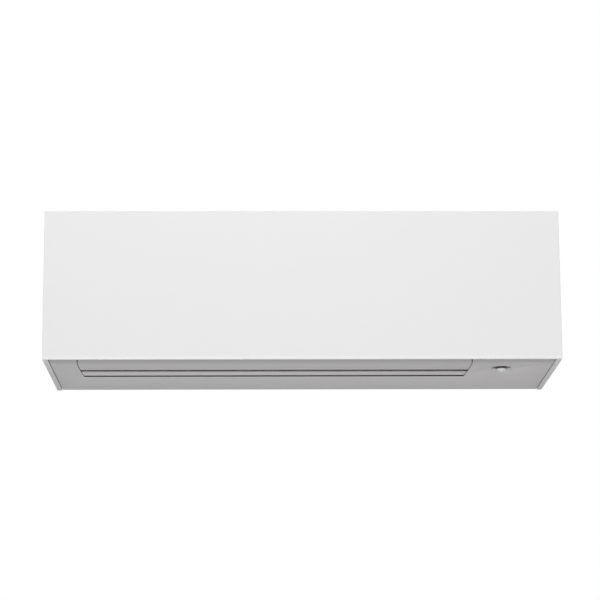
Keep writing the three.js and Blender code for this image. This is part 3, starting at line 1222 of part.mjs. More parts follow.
function terminalBlock() {
  const z0 = shelfTop();
  const y1 = BOX_Y + BOX_DEPTH - BOX_WALL - TERMINAL_TO_WALL;
  const y0 = y1 - TERMINAL_DEPTH;
  const [x0, x1] = terminalSpan();
  const body = block(x0, x1, y0, y1, z0, z0 + TERMINAL_HEIGHT);
  const wayX = (i) => x0 + 3 + i * TERMINAL_PITCH;
  const ways = count(TERMINAL_WAYS, (i) => block(wayX(i), wayX(i) + 9, y0 - 1, y0 + 10, z0 + 9,
    z0 + TERMINAL_HEIGHT + 1));
  const screws = count(TERMINAL_WAYS, (i) => bar(3, [wayX(i) + 4.5, y0 + 6, z0 + 8],
    [wayX(i) + 4.5, y0 + 6, z0 + 12], 8));
  return join(cut(body, ways), screws);
}

function cordClamp() {
  const z0 = shelfTop();
  const y0 = BOX_Y + 34;
  const x0 = terminalSpan()[1] + 8;
  const middle = x0 + CLAMP_LENGTH / 2;
  const bridge = block(x0, x0 + CLAMP_LENGTH, y0, y0 + 12, z0, z0 + 13);
  const arch = bar(5, [middle, y0 - 1, z0 + 5], [middle, y0 + 13, z0 + 5], 14);
  const screws = [4, CLAMP_LENGTH - 4].map((dx) => bar(2.6, [x0 + dx, y0 + 6, z0 + 12.5],
    [x0 + dx, y0 + 6, z0 + 15], 8));
  return join(cut(bridge, arch), screws);
}

function roomThermistor() {
  const x1 = BOX_LEFT - SEAT;
  const z = BOX_Z0 + 16;
  const holder = block(x1 - 9, x1, BOX_Y + 6, BOX_Y + 12, z, z + 26);
  const bead = bar(2.6, [x1 - 5, BOX_Y + 9, z - 8], [x1 - 5, BOX_Y + 9, z + 4], 10);
  return join(holder, bead);
}

function pipeThermistor() {
  const { from, to } = coilLines().lower;
  const [y, z] = between(from, to, 0.5);
  const x = PLATE_OUT + SEAT + 3.4;
  const sleeve = bar(3.4, [x, y, z - 6], [x, y, z + 6], 10);
  const clip = block(x - 3.4, x + 1, y - 4.4, y + 4.4, z - 3, z + 3);
  return join(sleeve, clip);
}

// Shallow dish that faces down, revolved about the sensor's middle.
function sensorHousing() {
  const top = coverTop(behindFace(SENSOR_DEPTH));
  const low = skinZ(SENSOR_DEPTH);
  const profile = [
    [0, top + SOCKET_HEIGHT], [SENSOR_RADIUS + SOCKET_FLANGE, top + SOCKET_HEIGHT],
    [SENSOR_RADIUS + SOCKET_FLANGE, top + SEAT + 1.4],
    [SENSOR_RADIUS, top + SEAT + 1.4], [SENSOR_RADIUS, low + 1.2], [SENSOR_RADIUS - 1, low + 0.6],
    [SENSOR_RADIUS - 4, top + 2.5], [LENS_RADIUS + SEAT, top + 3.4],
    [LENS_RADIUS + SEAT, top + LENS_SEAT], [0, top + LENS_SEAT],
  ].map(([r, z]) => new THREE.Vector2(r, z));
  const dish = new THREE.LatheGeometry(profile.reverse(), 24).rotateX(Math.PI / 2);
  return solid(dish.translate(SENSOR_X, behindFace(SENSOR_DEPTH), 0));
}

function sensorLens() {
  const top = coverTop(behindFace(SENSOR_DEPTH)) + LENS_SEAT - SEAT;
  const low = skinZ(SENSOR_DEPTH) - LENS_DROP;
  const profile = [
    [0, top], [LENS_RADIUS, top], [LENS_RADIUS, low + 5.5], [LENS_RADIUS - 1.5, low + 2.4],
    [LENS_RADIUS - 4.5, low + 0.6], [0, low],
  ].map(([r, z]) => new THREE.Vector2(r, z));
  const dome = new THREE.LatheGeometry(profile.reverse(), 20).rotateX(Math.PI / 2);
  return solid(dome.translate(SENSOR_X, behindFace(SENSOR_DEPTH), 0));
}

function lampWindow() {
  const y0 = behindFace(LAMP_DEPTH - LAMP_WIDTH / 2);
  const y1 = behindFace(LAMP_DEPTH + LAMP_WIDTH / 2);
  const low = skinZ(LAMP_DEPTH);
  const bar1 = block(LAMP_LEFT + SEAT, LAMP_RIGHT - SEAT, y0 + SEAT, y1 - SEAT, low + 0.8,
    low + 5);
  const flange = block(LAMP_LEFT - 3, LAMP_RIGHT + 3, y0 - 2, y1 + 2,
    low + COVER_THICKNESS + SEAT + 0.4, low + 7);
  return join(bar1, flange);
}

function switchButton() {
  const z = FOOT_Z + BUTTON_RISE;
  const rear = FRAME_Y + CASING_WALL;
  const cap = bar(BUTTON_RADIUS, [BUTTON_X, FRAME_Y - 1.2, z], [BUTTON_X, rear + 5, z], 14);
  const collar = bar(BUTTON_RADIUS + 2, [BUTTON_X, rear + SEAT, z], [BUTTON_X, rear + 2, z], 14);
  return join(cap, collar);
}

// ---------------------------------------------------------------- mounting plate

const hookPlaces = () => [-HOOK_SPACING, 0, HOOK_SPACING];

function mountingPlate() {
  const half = CASE_WIDTH / 2 - PLATE_INSET;
  const tall = PLATE_HEIGHT / 2;
  const corner = 14;
  const sheet = prismY([
    [-half + corner, -tall], [half - corner, -tall], [half, -tall + corner],
    [half, tall - corner], [half - corner, tall], [-half + corner, tall],
    [-half, tall - corner], [-half, -tall + corner],
  ], -PLATE_SHEET, 0);
  const windows = [-1, 1].flatMap((side) => [
    block(side * half * 0.62 - 60, side * half * 0.62 + 60, -10, 10, -tall + 20, -tall + 78),
    block(side * half * 0.3 - 30, side * half * 0.3 + 30, -10, 10, -20, 40),
  ]);
  const screwHoles = [-0.88, -0.45, 0.45, 0.88].flatMap((share) =>
    [tall - 12, -tall + 10].map((z) => bar(3, [share * half, -10, z], [share * half, 10, z], 8)));
  const rib = (x0, x1, z) => prismX([
    [-PLATE_SHEET + 0.4, z - 7], [-PLATE_SHEET + 0.4, z + 7], [-PLATE_RIB, z + 4],
    [-PLATE_RIB, z - 4]], x0, x1);
  const ribs = [rib(-half + 30, half - 30, 62), rib(-half + 30, half - 30, -28)];
  const hookBack = BACK_Y - 3;
  const hooks = hookPlaces().map((x) => join(
    block(x - HOOK_WIDTH / 2, x + HOOK_WIDTH / 2, hookBack, -0.5, HOOK_RISE - PLATE_SHEET,
      HOOK_RISE),
    block(x - HOOK_WIDTH / 2, x + HOOK_WIDTH / 2, hookBack, hookBack + PLATE_SHEET,
      HOOK_RISE - PLATE_SHEET, HOOK_RISE + HOOK_LIP)));
  return join(cut(sheet, windows, screwHoles), ribs, hooks);
}

// ---------------------------------------------------------------- the unit

place('mounting_plate', mountingPlate(), zinc);
place('rear_casing', rearCasing(), innerGrey);
place('front_casing', frontCasing(), white);
place('top_grille', topGrille(), white);
place('underside_cover', undersideCover(), lightGrey);
place('front_panel', frontPanel(), white);
place('air_filter_left', airFilter(-1), filterBlue);
place('air_filter_right', airFilter(1), filterBlue);
place('main_flap', mainFlap(), lightGrey);
place('second_flap', secondFlap(), lightGrey);
place('main_flap_motor', flapMotor(FLAP_AXIS_DEPTH), innerGrey);
place('second_flap_motor', flapMotor(SECOND_AXIS_DEPTH), innerGrey);
for (const at of vanePlaces()) {
  place(at.name, vane(at), black);
}
place('link_rod_left', linkRod('left'), black);
place('link_rod_right', linkRod('right'), black);
place('crossflow_fan', crossflowFan(), black);
place('fan_bearing', fanBearing(), black);
place('fan_motor', fanMotor(), zinc);
place('motor_bracket', motorBracket(), innerGrey);
place('drain_pan', drainPan(), innerGrey);
place('drain_plug', drainPlug(), black);
place('coil_front_lower', coilBlock(coilLines().lower), aluminium);
place('coil_front_upper', coilBlock(coilLines().upper), aluminium);
place('coil_rear', coilBlock(coilLines().rear), aluminium);
place('coil_plate_left', coilPlate(-1), copper);
place('coil_plate_right', coilPlate(1), copper);
place('gas_pipe', pipe(gasRoute(), GAS_PIPE, 14), copper);
place('liquid_pipe', pipe(liquidRoute(), LIQUID_PIPE, 12), copper);
place('gas_nut', flareNut(gasRoute(), GAS_PIPE), brass);
place('liquid_nut', flareNut(liquidRoute(), LIQUID_PIPE), brass);
place('electrical_box', electricalBox(), innerGrey);
place('electrical_cover', electricalCover(), innerGrey);
place('control_board', controlBoard(), boardGreen);
place('terminal_block', terminalBlock(), black);
place('cord_clamp', cordClamp(), black);
place('room_thermistor', roomThermistor(), black);
place('pipe_thermistor', pipeThermistor(), copper);
place('sensor_housing', sensorHousing(), lightGrey);
place('sensor_lens', sensorLens(), lensWhite);
place('lamp_window', lampWindow(), lensWhite);
place('switch_button', switchButton(), lightGrey);

export default unitGroup;
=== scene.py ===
"""Looks for the indoor unit of a wall-mounted split air conditioner, built round its solids."""

import json
import math

import bmesh
import bpy
from bpy.props import FloatProperty, FloatVectorProperty, IntProperty, PointerProperty
from mathutils import Matrix, Quaternion, Vector


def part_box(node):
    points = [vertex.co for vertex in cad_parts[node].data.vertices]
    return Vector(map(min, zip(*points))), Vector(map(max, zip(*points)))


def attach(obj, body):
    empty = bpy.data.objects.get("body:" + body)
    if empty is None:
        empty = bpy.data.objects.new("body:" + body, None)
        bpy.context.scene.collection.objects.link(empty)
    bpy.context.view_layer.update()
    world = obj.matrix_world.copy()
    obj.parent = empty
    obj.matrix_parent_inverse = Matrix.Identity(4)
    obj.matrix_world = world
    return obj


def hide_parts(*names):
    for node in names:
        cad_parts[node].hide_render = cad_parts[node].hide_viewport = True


bl_info = {
    "name": "Split Air Conditioner Indoor Unit",
    "version": (1, 0, 0),
    "blender": (4, 5, 0),
    "location": "View3D > Sidebar > Indoor Unit",
    "description": "Finishes, moulded edges and inner details of a wall-mounted indoor unit",
    "category": "Object",
}

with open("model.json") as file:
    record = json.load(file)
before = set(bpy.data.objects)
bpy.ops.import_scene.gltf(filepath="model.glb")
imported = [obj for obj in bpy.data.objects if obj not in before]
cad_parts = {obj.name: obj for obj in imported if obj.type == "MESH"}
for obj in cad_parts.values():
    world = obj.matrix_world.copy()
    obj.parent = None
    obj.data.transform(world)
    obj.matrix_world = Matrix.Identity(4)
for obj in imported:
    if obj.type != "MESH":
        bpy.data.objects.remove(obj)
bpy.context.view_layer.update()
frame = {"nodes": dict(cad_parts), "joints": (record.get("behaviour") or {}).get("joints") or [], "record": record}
PANEL_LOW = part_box("front_panel")[0]
COVER_LOW, COVER_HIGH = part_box("underside_cover")
FAN_LOW, FAN_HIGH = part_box("crossflow_fan")
CASE_DEPTH = -PANEL_LOW.y
SIDE_LEAN = 0.010  # each side leans in by this much from front to wall
UNDERSIDE_FALL = 0.015  # and the underside falls by this much
SIDE_SLOPE = SIDE_LEAN / CASE_DEPTH
UNDERSIDE_SLOPE = UNDERSIDE_FALL / CASE_DEPTH
SEAM_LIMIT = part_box("sensor_housing")[0].x - 0.01  # only the sensor and the lamp are beyond
SHADE_STRIP_RUNS = ((-0.240, -0.053), (-0.046, -0.005))  # dark strips of painted seam shade, clear of the chassis
SHADE_STRIP_LIFT, SHADE_STRIP_HEIGHT = 0.0037, 0.003  # above the strips' feet
SHADE_STRIP_INWARD, SHADE_STRIP_OUTWARD = 0.004, 0.005  # from the edge of the cover

DOUBLES = 2e-6  # vertices closer than this are one
FLAT_ANGLE = 0.4  # degrees between triangles of one flat face
MOULDED_ANGLE = 30  # degrees, from which an edge is rounded
MOULDED_LENGTH = 5  # shortest rounded edge, in rounding radii

AT_EDGE = 0.0005  # a vertex this near to a flap's edge is part of it
REAR_EASE = 0.0045  # by which the wide flap's rear edge is drawn forward
THIN_REACH = 0.011  # over which the narrow flap gets thin towards its front
THIN_EDGE = 0.15  # share of its thickness that is left at its front edge
THIN_RISE = 75  # share that it gains per metre behind that edge
THIN_EASE = 0.004  # by which its front edge is drawn back
CORNER_REACH, CORNER_EASE, CORNER_TAPER = 0.012, 0.0024, 0.13  # wide flap's front corners
OUTLET_REACH, OUTLET_MARGIN, OUTLET_EASE = 0.0105, 0.012, 0.0022  # outlet's rear edge

LENS_DOME = 0.74  # radius of the lens's dome, as a share of its collar's
LENS_DROP = 0.62  # depth of the dome, as a share of the lens's height
LENS_COLUMNS, LENS_ROWS = 12, 10
LENS_GROOVE, LENS_BULGE = 0.0003, 0.00025

FAN_DISC = 0.0018  # thickness of the discs between the fan's sections
FAN_END_GAPS = 0.0075, 0.003  # from the bearing and from the motor's end to the blades
FAN_TWIST = 3.3  # degrees from one section to the next
BLADE_DEPTH, BLADE_INSET = 0.0125, 0.0006  # inner and outer end, below the fan's radius
BLADE_SWEEP = 17  # degrees from inner to outer end
BLADE_STEPS = 4
BLADE_HALF = 0.0004  # half the thickness at the ends, twice that in the middle

FIN_THICKNESS = 0.00022
TUBE_PITCH, TUBE_RADIUS, TUBE_OFFSET = 0.021, 0.0035, 0.0065
TUBE_STAGGER = 0.22  # share of the pitch by which both rows part
PLATE_THICKNESS = 0.0016

NET_MARGIN = 0.002  # hidden in the filter's frame
NET_BEND = 0.036
NET_STEPS = 8
NET_THREAD = 0.16  # half of a thread, as a share of the pitch

BOARD_THICKNESS = 0.0017
SCREW_RADIUS = 0.0038
SCREW_INSET, SCREW_DROP = 0.007, 0.012  # from the corners of the electrical cover


def underside(y):
    """Height of the side strips' feet."""
    return PANEL_LOW.z - UNDERSIDE_SLOPE * (y - PANEL_LOW.y)


# ------------------------------------------------------------------ user settings


def colour(name, description, value):
    """A colour setting."""
    return FloatVectorProperty(
        name=name, description=description, subtype="COLOR", size=3, min=0, max=1, default=value
    )


def length(name, description, value):
    """A length setting in metres."""
    return FloatProperty(
        name=name, description=description, subtype="DISTANCE", unit="LENGTH", min=0, default=value
    )


class HousingSettings(bpy.types.PropertyGroup):
    panel: colour("Panel", "Colour of the smooth front panel", (0.845, 0.845, 0.845))
    casing: colour("Casing", "Colour of the matt casing", (0.83, 0.83, 0.825))
    # The underside and the flaps are the same white plastic as the casing; their tones are set a little darker, as
    # painted shade.
    underside: colour("Underside", "Colour of the cover below", (0.775, 0.758, 0.764))
    flap: colour("Flaps", "Colour of both flaps", (0.775, 0.758, 0.764))
    # Painted shade: the underside's colour is darkened right behind the panel, fading out over the lip reach.
    lip_shade: FloatProperty(
        name="Lip shade",
        description="Darkening of the underside right behind the panel",
        min=0,
        max=1,
        default=0.52,
    )
    lip_reach: length("Lip reach", "Depth over which that shade fades", 0.06)
    edge: length("Edge radius", "Rounding of moulded edges", 0.0006)
    grain: length("Grain", "Size of the moulded surface grain", 0.0007)


class InnerSettings(bpy.types.PropertyGroup):
    fan_blades: IntProperty(
        name="Fan blades", description="Blades round the fan", min=8, max=60, default=35
    )
    fan_sections: IntProperty(
        name="Fan sections", description="Sections along the fan", min=2, max=16, default=9
    )
    fin_pitch: length("Fin pitch", "Spacing of the heat exchanger's fins", 0.0022)
    net_pitch: length("Net pitch", "Spacing of the filter net's threads", 0.0016)
    copper: colour("Copper", "Colour of the pipes", (0.72, 0.36, 0.2))
    dark: colour("Dark plastic", "Colour of fan and blades", (0.035, 0.037, 0.04))


class StageSettings(bpy.types.PropertyGroup):
    focal: FloatProperty(name="Focal length", description="In millimetres", default=141.24)
    yaw: FloatProperty(
        name="Yaw", description="Turn of the view to the right", subtype="ANGLE",
        default=math.radians(1.3772),
    )
    pitch: FloatProperty(
        name="Pitch", description="Upward tilt of the view", subtype="ANGLE",
        default=math.radians(12.333),
    )
    roll: FloatProperty(
        name="Roll", description="Turn of the picture", subtype="ANGLE",
        default=math.radians(-0.3511),
    )
    camera: FloatVectorProperty(
        name="Camera", description="Place of the camera", subtype="TRANSLATION", size=3,
        default=(-0.1106, -4.6482, -0.9863),
    )
    ambient: FloatProperty(name="Ambient", description="Light from all round", default=0.58)
    key: FloatProperty(name="Key", description="Power of the upper lamp", default=24)
    kick: FloatProperty(name="Kick", description="Power of the lower lamp", default=243)
    rear: FloatProperty(name="Rear", description="Power of the lamp behind", default=110)
    floor_drop: length("Floor", "Height of the unit above the floor", 3.6)


# ------------------------------------------------------------------ shader maths


class Value:
    """A number in a node tree: an operator on it adds the Math node that works it out."""

    def __init__(self, nodes, socket):
        self.nodes = nodes
        self.socket = socket

    def _math(self, operation, *values):
        """The result of one Math node."""
        inputs = dict(enumerate(values))
        node = self.nodes.add("ShaderNodeMath", {"operation": operation}, inputs)
        return Value(self.nodes, node.outputs[0])

    def __add__(self, other):
        return self._math("ADD", self, other)

    def __radd__(self, other):
        return self._math("ADD", other, self)

    def __sub__(self, other):
        return self._math("SUBTRACT", self, other)

    def __rsub__(self, other):
        return self._math("SUBTRACT", other, self)

    def __mul__(self, other):
        return self._math("MULTIPLY", self, other)

    def __rmul__(self, other):
        return self._math("MULTIPLY", other, self)

    def __truediv__(self, other):
        return self._math("DIVIDE", self, other)

    def __pow__(self, other):
        return self._math("POWER", self, other)

    def __gt__(self, other):
        return self._math("GREATER_THAN", self, other)

    def __lt__(self, other):
        return self._math("LESS_THAN", self, other)

    def __abs__(self):
        return self._math("ABSOLUTE", self)

    def __mod__(self, other):
        return self._math("FLOORED_MODULO", self, other)

    def clamped(self):
        """Held between 0 and 1."""
        return self._math("MINIMUM", self._math("MAXIMUM", self, 0.0), 1.0)

    def between(self, low, high):
        """0 below `low`, 1 above `high`, straight in between."""
        return ((self - low) / (high - low)).clamped()

    def larger(self, other):
        """The larger of two numbers."""
        return self._math("MAXIMUM", self, other)


class Tree:
    """A node tree: every node is added by one method."""

    def __init__(self, tree):
        self.tree = tree
        self.tree.nodes.clear()

    def add(self, kind, settings=None, inputs=None):
        """Adds a node: its settings are set first, and then its inputs are set or linked."""
        node = self.tree.nodes.new(kind)
        for key, value in (settings or {}).items():
            setattr(node, key, value)
        for key, value in (inputs or {}).items():
            self.feed(node.inputs[key], value)
        return node

    def feed(self, socket, value):
        """Links a value or a socket to an input, or sets the input to a constant."""
        if isinstance(value, Value):
            value = value.socket
        if isinstance(value, bpy.types.NodeSocket):
            self.tree.links.new(value, socket)
        elif socket.type == "RGBA" and len(value) == 3:
            socket.default_value = (*value, 1)
        else:
            socket.default_value = value


class Nodes(Tree):
    """The node tree of one material, with its surface shader."""

    def __init__(self, name, **plain):
        self.material = bpy.data.materials.new(name)
        self.material.use_nodes = True
        super().__init__(self.material.node_tree)
        self.surface = self.add("ShaderNodeBsdfPrincipled", {}, plain)
        self.out = self.add("ShaderNodeOutputMaterial", {}, {0: self.surface.outputs[0]})
        coordinates = self.add("ShaderNodeTexCoord")
        self.place = coordinates.outputs["Object"]
        self.map = coordinates.outputs["UV"]

    def axes(self, source=None):
        """The three parts of a place, as values."""
        node = self.add("ShaderNodeSeparateXYZ", {}, {0: source or self.place})
        return [Value(self, node.outputs[i]) for i in range(3)]

    def scaled(self, factors, source=None):
        """A place stretched along each axis."""
        inputs = {"Vector": source or self.place, "Scale": factors}
        return self.add("ShaderNodeMapping", {}, inputs).outputs[0]

    def noise(self, size, detail=3.0, roughness=0.5, vector=None):
        """Cloudy pattern of features about `size` metres across, round 0.5."""
        inputs = {
            "Vector": vector or self.place,
            "Scale": 1 / size,
            "Detail": detail,
            "Roughness": roughness,
        }
        return Value(self, self.add("ShaderNodeTexNoise", {}, inputs).outputs[0])

    def cells(self, size, feature="F1", vector=None):
        """Distance pattern of cells about `size` metres across."""
        inputs = {"Vector": vector or self.place, "Scale": 1 / size}
        node = self.add("ShaderNodeTexVoronoi", {"feature": feature}, inputs)
        return Value(self, node.outputs[0])

    def cell_tone(self, size, vector=None):
        """One grey for each cell."""
        inputs = {"Vector": vector or self.place, "Scale": 1 / size}
        node = self.add("ShaderNodeTexVoronoi", {}, inputs)
        parts = self.add("ShaderNodeSeparateColor", {}, {0: node.outputs["Color"]})
        return Value(self, parts.outputs["Red"])

    def mix(self, factor, first, second):
        """Two colours mixed."""
        inputs = {0: factor, 6: first, 7: second}  # the sockets of the node's colour form
        return self.add("ShaderNodeMix", {"data_type": "RGBA"}, inputs).outputs[2]

    def bump(self, height, distance, strength=1.0):
        """Feeds the surface's normal from a height between 0 and 1."""
        inputs = {"Height": height, "Distance": distance, "Strength": strength}
        bumped = self.add("ShaderNodeBump", {}, inputs)
        self.feed(self.surface.inputs["Normal"], bumped.outputs[0])

    def tone(self, value):
        """Feeds the surface's colour."""
        self.feed(self.surface.inputs["Base Color"], value)

    def rough(self, value):
        """Feeds the surface's roughness."""
        self.feed(self.surface.inputs["Roughness"], value)


def shade(tone, factor):
    """A colour times a number."""
    return tuple(part * factor for part in tone)


# ------------------------------------------------------------------ finishes


def moulded_plastic(name, tone, grain, roughness, depth=0.00003, dust=0.03):
    """Matt moulded plastic: eroded grain, faint flow clouds and a little dust in the clouds."""
    nodes = Nodes(name, **{"Specular IOR Level": 0.4, "IOR": 1.46})
    clouds = nodes.noise(0.11, detail=2.0)
    specks = nodes.noise(0.004, detail=4.0, roughness=0.6)
    nodes.tone(nodes.mix(clouds.between(0.35, 0.75) * dust, tone, shade(tone, 0.9)))
    nodes.rough(roughness + (specks - 0.5) * 0.12 + (clouds - 0.5) * 0.1)
    nodes.bump(nodes.noise(grain, detail=3.0, roughness=0.55), depth)
    return nodes


def panel_plastic(name, tone):
    """Smooth satin panel with faint orange peel; its foot and the chamfer along it are painted lighter, as a
    painted highlight.
    """
    nodes = Nodes(name, **{"Specular IOR Level": 0.38, "IOR": 1.46})
    clouds = nodes.noise(0.25, detail=2.0)
    normal = nodes.add("ShaderNodeTexCoord").outputs["Normal"]
    # painted highlight: the downward-facing chamfer at the panel's foot is painted lighter and made glossier
    foot_chamfer_highlight = (-1 * nodes.axes(normal)[2]).between(0.3, 0.6)
    face = nodes.mix(clouds.between(0.4, 0.7) * 0.02, tone, shade(tone, 0.94))
    # painted highlight: a band a few millimetres high at the panel's foot is painted lighter
    foot = 1 - nodes.axes()[2].between(PANEL_LOW.z + 0.003, PANEL_LOW.z + 0.006)
    face = nodes.mix(foot, face, shade(tone, 1.08))
    nodes.tone(nodes.mix(foot_chamfer_highlight, face, shade(tone, 1.17)))
    nodes.rough(0.36 + (nodes.noise(0.03, detail=3.0) - 0.5) * 0.08 - foot_chamfer_highlight * 0.1)
    nodes.bump(nodes.noise(0.0035, detail=2.0, roughness=0.4), 0.00001)
    return nodes.material


def underside_plastic(name, tone, settings, lip=None):
    """Matt plastic with painted shade that grows darker towards the lip behind the front panel.

    With `lip`, the last few millimetres before that depth are painted lighter, as a painted highlight.
    """
    nodes = moulded_plastic(name, tone, settings.grain, 0.5)
    depth = nodes.axes()[1] - PANEL_LOW.y
    # painted shade: strongest right behind the panel, gone beyond the lip reach
    near = 1 - depth.between(0.0, settings.lip_reach)
    drift = nodes.noise(0.16, detail=1.0).between(0.3, 0.7) * 0.02
    base = nodes.mix(drift, tone, shade(tone, 0.92))
    if lip is not None:
        # painted highlight: the flap's rear edge is painted lighter
        base = nodes.mix(depth.between(lip - 0.012, lip - 0.006), base, shade(tone, 1.13))
    nodes.tone(nodes.mix(near ** 1.6, base, shade(tone, 1 - settings.lip_shade)))
    return nodes.material


def seam_shade_paint(name):
    """Nearly black matt surface: painted shade for the inside of a narrow seam, with dust that has settled in it.
    """
    nodes = Nodes(name, **{"Specular IOR Level": 0.1})
    dust = nodes.noise(0.02, detail=4.0, roughness=0.6)
    nodes.tone(nodes.mix(dust.between(0.45, 0.8) * 0.3, (0.005, 0.005, 0.005), (0.02, 0.02, 0.02)))
    nodes.rough(0.8 + (dust - 0.5) * 0.2)
    nodes.bump(nodes.noise(0.001, detail=3.0), 0.00003)
    return nodes.material


def shaded_dish(tone, grain):
    """Sensor dish: its rim is as light as the cover, and its bowl is painted dark, as painted shade."""
    nodes = moulded_plastic("sensor_dish_plastic", tone, grain, 0.5)
    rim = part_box("sensor_housing")[0].z
    # painted shade: the bowl above the rim is painted darker
    bowl = nodes.axes()[2].between(rim + 0.0009, rim + 0.0016)
    drift = nodes.noise(0.01, detail=2.0).between(0.3, 0.7) * 0.05
    base = nodes.mix(drift, tone, shade(tone, 0.9))
    nodes.tone(nodes.mix(bowl * 0.9, base, shade(tone, 0.3)))
    return nodes.material


def zinc_sheet(name):
    """Zinc coated sheet with faint spangle and rolling marks."""
    nodes = Nodes(name, **{"Metallic": 1.0})
    spangle = nodes.cell_tone(0.012)
    marks = nodes.noise(0.002, detail=3.0, roughness=0.6, vector=nodes.scaled((0.06, 1, 1)))
    light, dark = (0.62, 0.64, 0.655), (0.5, 0.52, 0.54)
    nodes.tone(nodes.mix(spangle * 0.7 + marks * 0.3, light, dark))
    nodes.rough(0.36 + spangle * 0.14 + marks * 0.06)
    nodes.bump(marks, 0.00002, strength=0.6)
    return nodes.material


def bare_metal(name, tone, roughness, tarnish, size=0.02):
    """Drawn or machined metal with cloudy tarnish."""
    nodes = Nodes(name, **{"Metallic": 1.0})
    clouds = nodes.noise(size, detail=5.0, roughness=0.6).between(0.42, 0.72)
    marks = nodes.noise(0.0015, detail=3.0, roughness=0.6)
    nodes.tone(nodes.mix(clouds * tarnish, tone, shade(tone, 0.45)))
    nodes.rough(roughness + clouds * 0.2 + (marks - 0.5) * 0.1)
    nodes.bump(marks, 0.00001, strength=0.5)
    return nodes.material


def dark_plastic(name, tone):
    """Dark glass-filled plastic with a thin film of dust."""
    nodes = moulded_plastic(name, tone, 0.0006, 0.48, 0.00002)
    dust = nodes.noise(0.03, detail=4.0, roughness=0.6).between(0.45, 0.8) * 0.1
    nodes.tone(nodes.mix(dust, tone, (0.2, 0.19, 0.18)))
    return nodes.material


def rubber(name):
    """Dull black rubber."""
    nodes = Nodes(name)
    bloom = nodes.noise(0.01, detail=4.0, roughness=0.6)
    nodes.tone(nodes.mix(bloom.between(0.4, 0.8) * 0.3, (0.018, 0.018, 0.019), (0.06, 0.06, 0.06)))
    nodes.rough(0.7 + (bloom - 0.5) * 0.2)
    nodes.bump(nodes.noise(0.0008, detail=3.0), 0.00003)
    return nodes.material


def circuit_board(name, board_y):
    """Green board with tracks and solder spots; what stands on it is dark, some of it blue."""
    nodes = Nodes(name)
    x, y, z = nodes.axes()
    track = (nodes.cells(0.007, "DISTANCE_TO_EDGE", nodes.scaled((1, 0, 0.5))) < 0.09)
    spots = nodes.cells(0.0042, "F1", nodes.scaled((1, 0, 1))) < 0.16
    board = nodes.mix(track, (0.02, 0.12, 0.05), (0.045, 0.2, 0.085))
    board = nodes.mix(spots, board, (0.55, 0.56, 0.57))
    parts = nodes.mix(nodes.cell_tone(0.022) > 0.55, (0.03, 0.032, 0.035), (0.12, 0.16, 0.3))
    on_board = y > board_y
    nodes.tone(nodes.mix(on_board, parts, board))
    nodes.rough(0.42 + (nodes.noise(0.002) - 0.5) * 0.2)
    nodes.bump(track * 0.5 + spots * 0.5, 0.00004, strength=0.8)
    return nodes.material


def milky_plastic(name, tone, roughness):
    """Translucent glossy plastic."""
    settings = {"Subsurface Weight": 0.25, "Subsurface Radius": (0.003, 0.003, 0.003)}
    nodes = Nodes(name, **{**settings, "Subsurface Scale": 1.0})
    clouds = nodes.noise(0.012, detail=2.0)
    nodes.tone(nodes.mix(clouds.between(0.3, 0.8) * 0.08, tone, shade(tone, 0.85)))
    nodes.rough(roughness + (clouds - 0.5) * 0.06)
    nodes.bump(nodes.noise(0.0012, detail=2.0), 0.00001)
    return nodes.material


def aluminium_fins(name):
    """Thin rolled aluminium with a bluish coating."""
    nodes = Nodes(name, **{"Metallic": 1.0})
    marks = nodes.noise(0.004, detail=4.0, roughness=0.6)
    nodes.tone(nodes.mix(marks.between(0.3, 0.8), (0.66, 0.7, 0.72), (0.5, 0.56, 0.6)))
    nodes.rough(0.34 + marks * 0.15)
    nodes.bump(marks, 0.00002, strength=0.5)
    return nodes.material


def net_threads(name, pitch, tone):
    """A woven net: round threads that pass over and under each other, open in between."""
    nodes = Nodes(name)
    u, v, _ = nodes.axes(nodes.map)
    across = abs((u / pitch) % 1.0 - 0.5)
    along = abs((v / pitch) % 1.0 - 0.5)
    solid = (across < NET_THREAD).larger(along < NET_THREAD)
    round_across = (1 - across / NET_THREAD).clamped()
    round_along = (1 - along / NET_THREAD).clamped()
    nodes.feed(nodes.surface.inputs["Alpha"], solid)
    dust = nodes.noise(0.02, detail=4.0, roughness=0.6).between(0.5, 0.8) * 0.25
    nodes.tone(nodes.mix(dust, tone, (0.3, 0.29, 0.28)))
    nodes.rough(0.55 + dust * 0.3)
    nodes.bump(round_across.larger(round_along), 0.0001, strength=0.8)
    return nodes.material


# ------------------------------------------------------------------ pieces


def body_of(node):
    """The body that a node of the part belongs to."""
    bodies = frame["record"]["behaviour"]["bodies"]
    return next(name for name, nodes in bodies.items() if node in nodes)


def add_piece(name, mesh, material, node, replaces=(), sharp=35):
    """Makes an object of a bmesh, shaded smooth up to an angle, that rides with a node's body."""
    for face in mesh.faces:
        face.smooth = True
    for edge in mesh.edges:
        if len(edge.link_faces) == 2:
            edge.smooth = edge.calc_face_angle(0) < math.radians(sharp)
    data = bpy.data.meshes.new(name)
    mesh.to_mesh(data)
    mesh.free()
    data.materials.append(material)
    piece = bpy.data.objects.new(name, data)
    bpy.context.collection.objects.link(piece)
    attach(piece, body_of(node))
    if replaces:
        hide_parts(*replaces)
    return piece


def merged_copy(node):
    """A bmesh of a node with its doubles merged and its flat faces made whole."""
    mesh = bmesh.new()
    mesh.from_mesh(frame["nodes"][node].data)
    bmesh.ops.remove_doubles(mesh, verts=mesh.verts, dist=DOUBLES)
    bmesh.ops.dissolve_limit(
        mesh, angle_limit=math.radians(FLAT_ANGLE), verts=mesh.verts, edges=mesh.edges,
        use_dissolve_boundaries=False,
    )
    return mesh


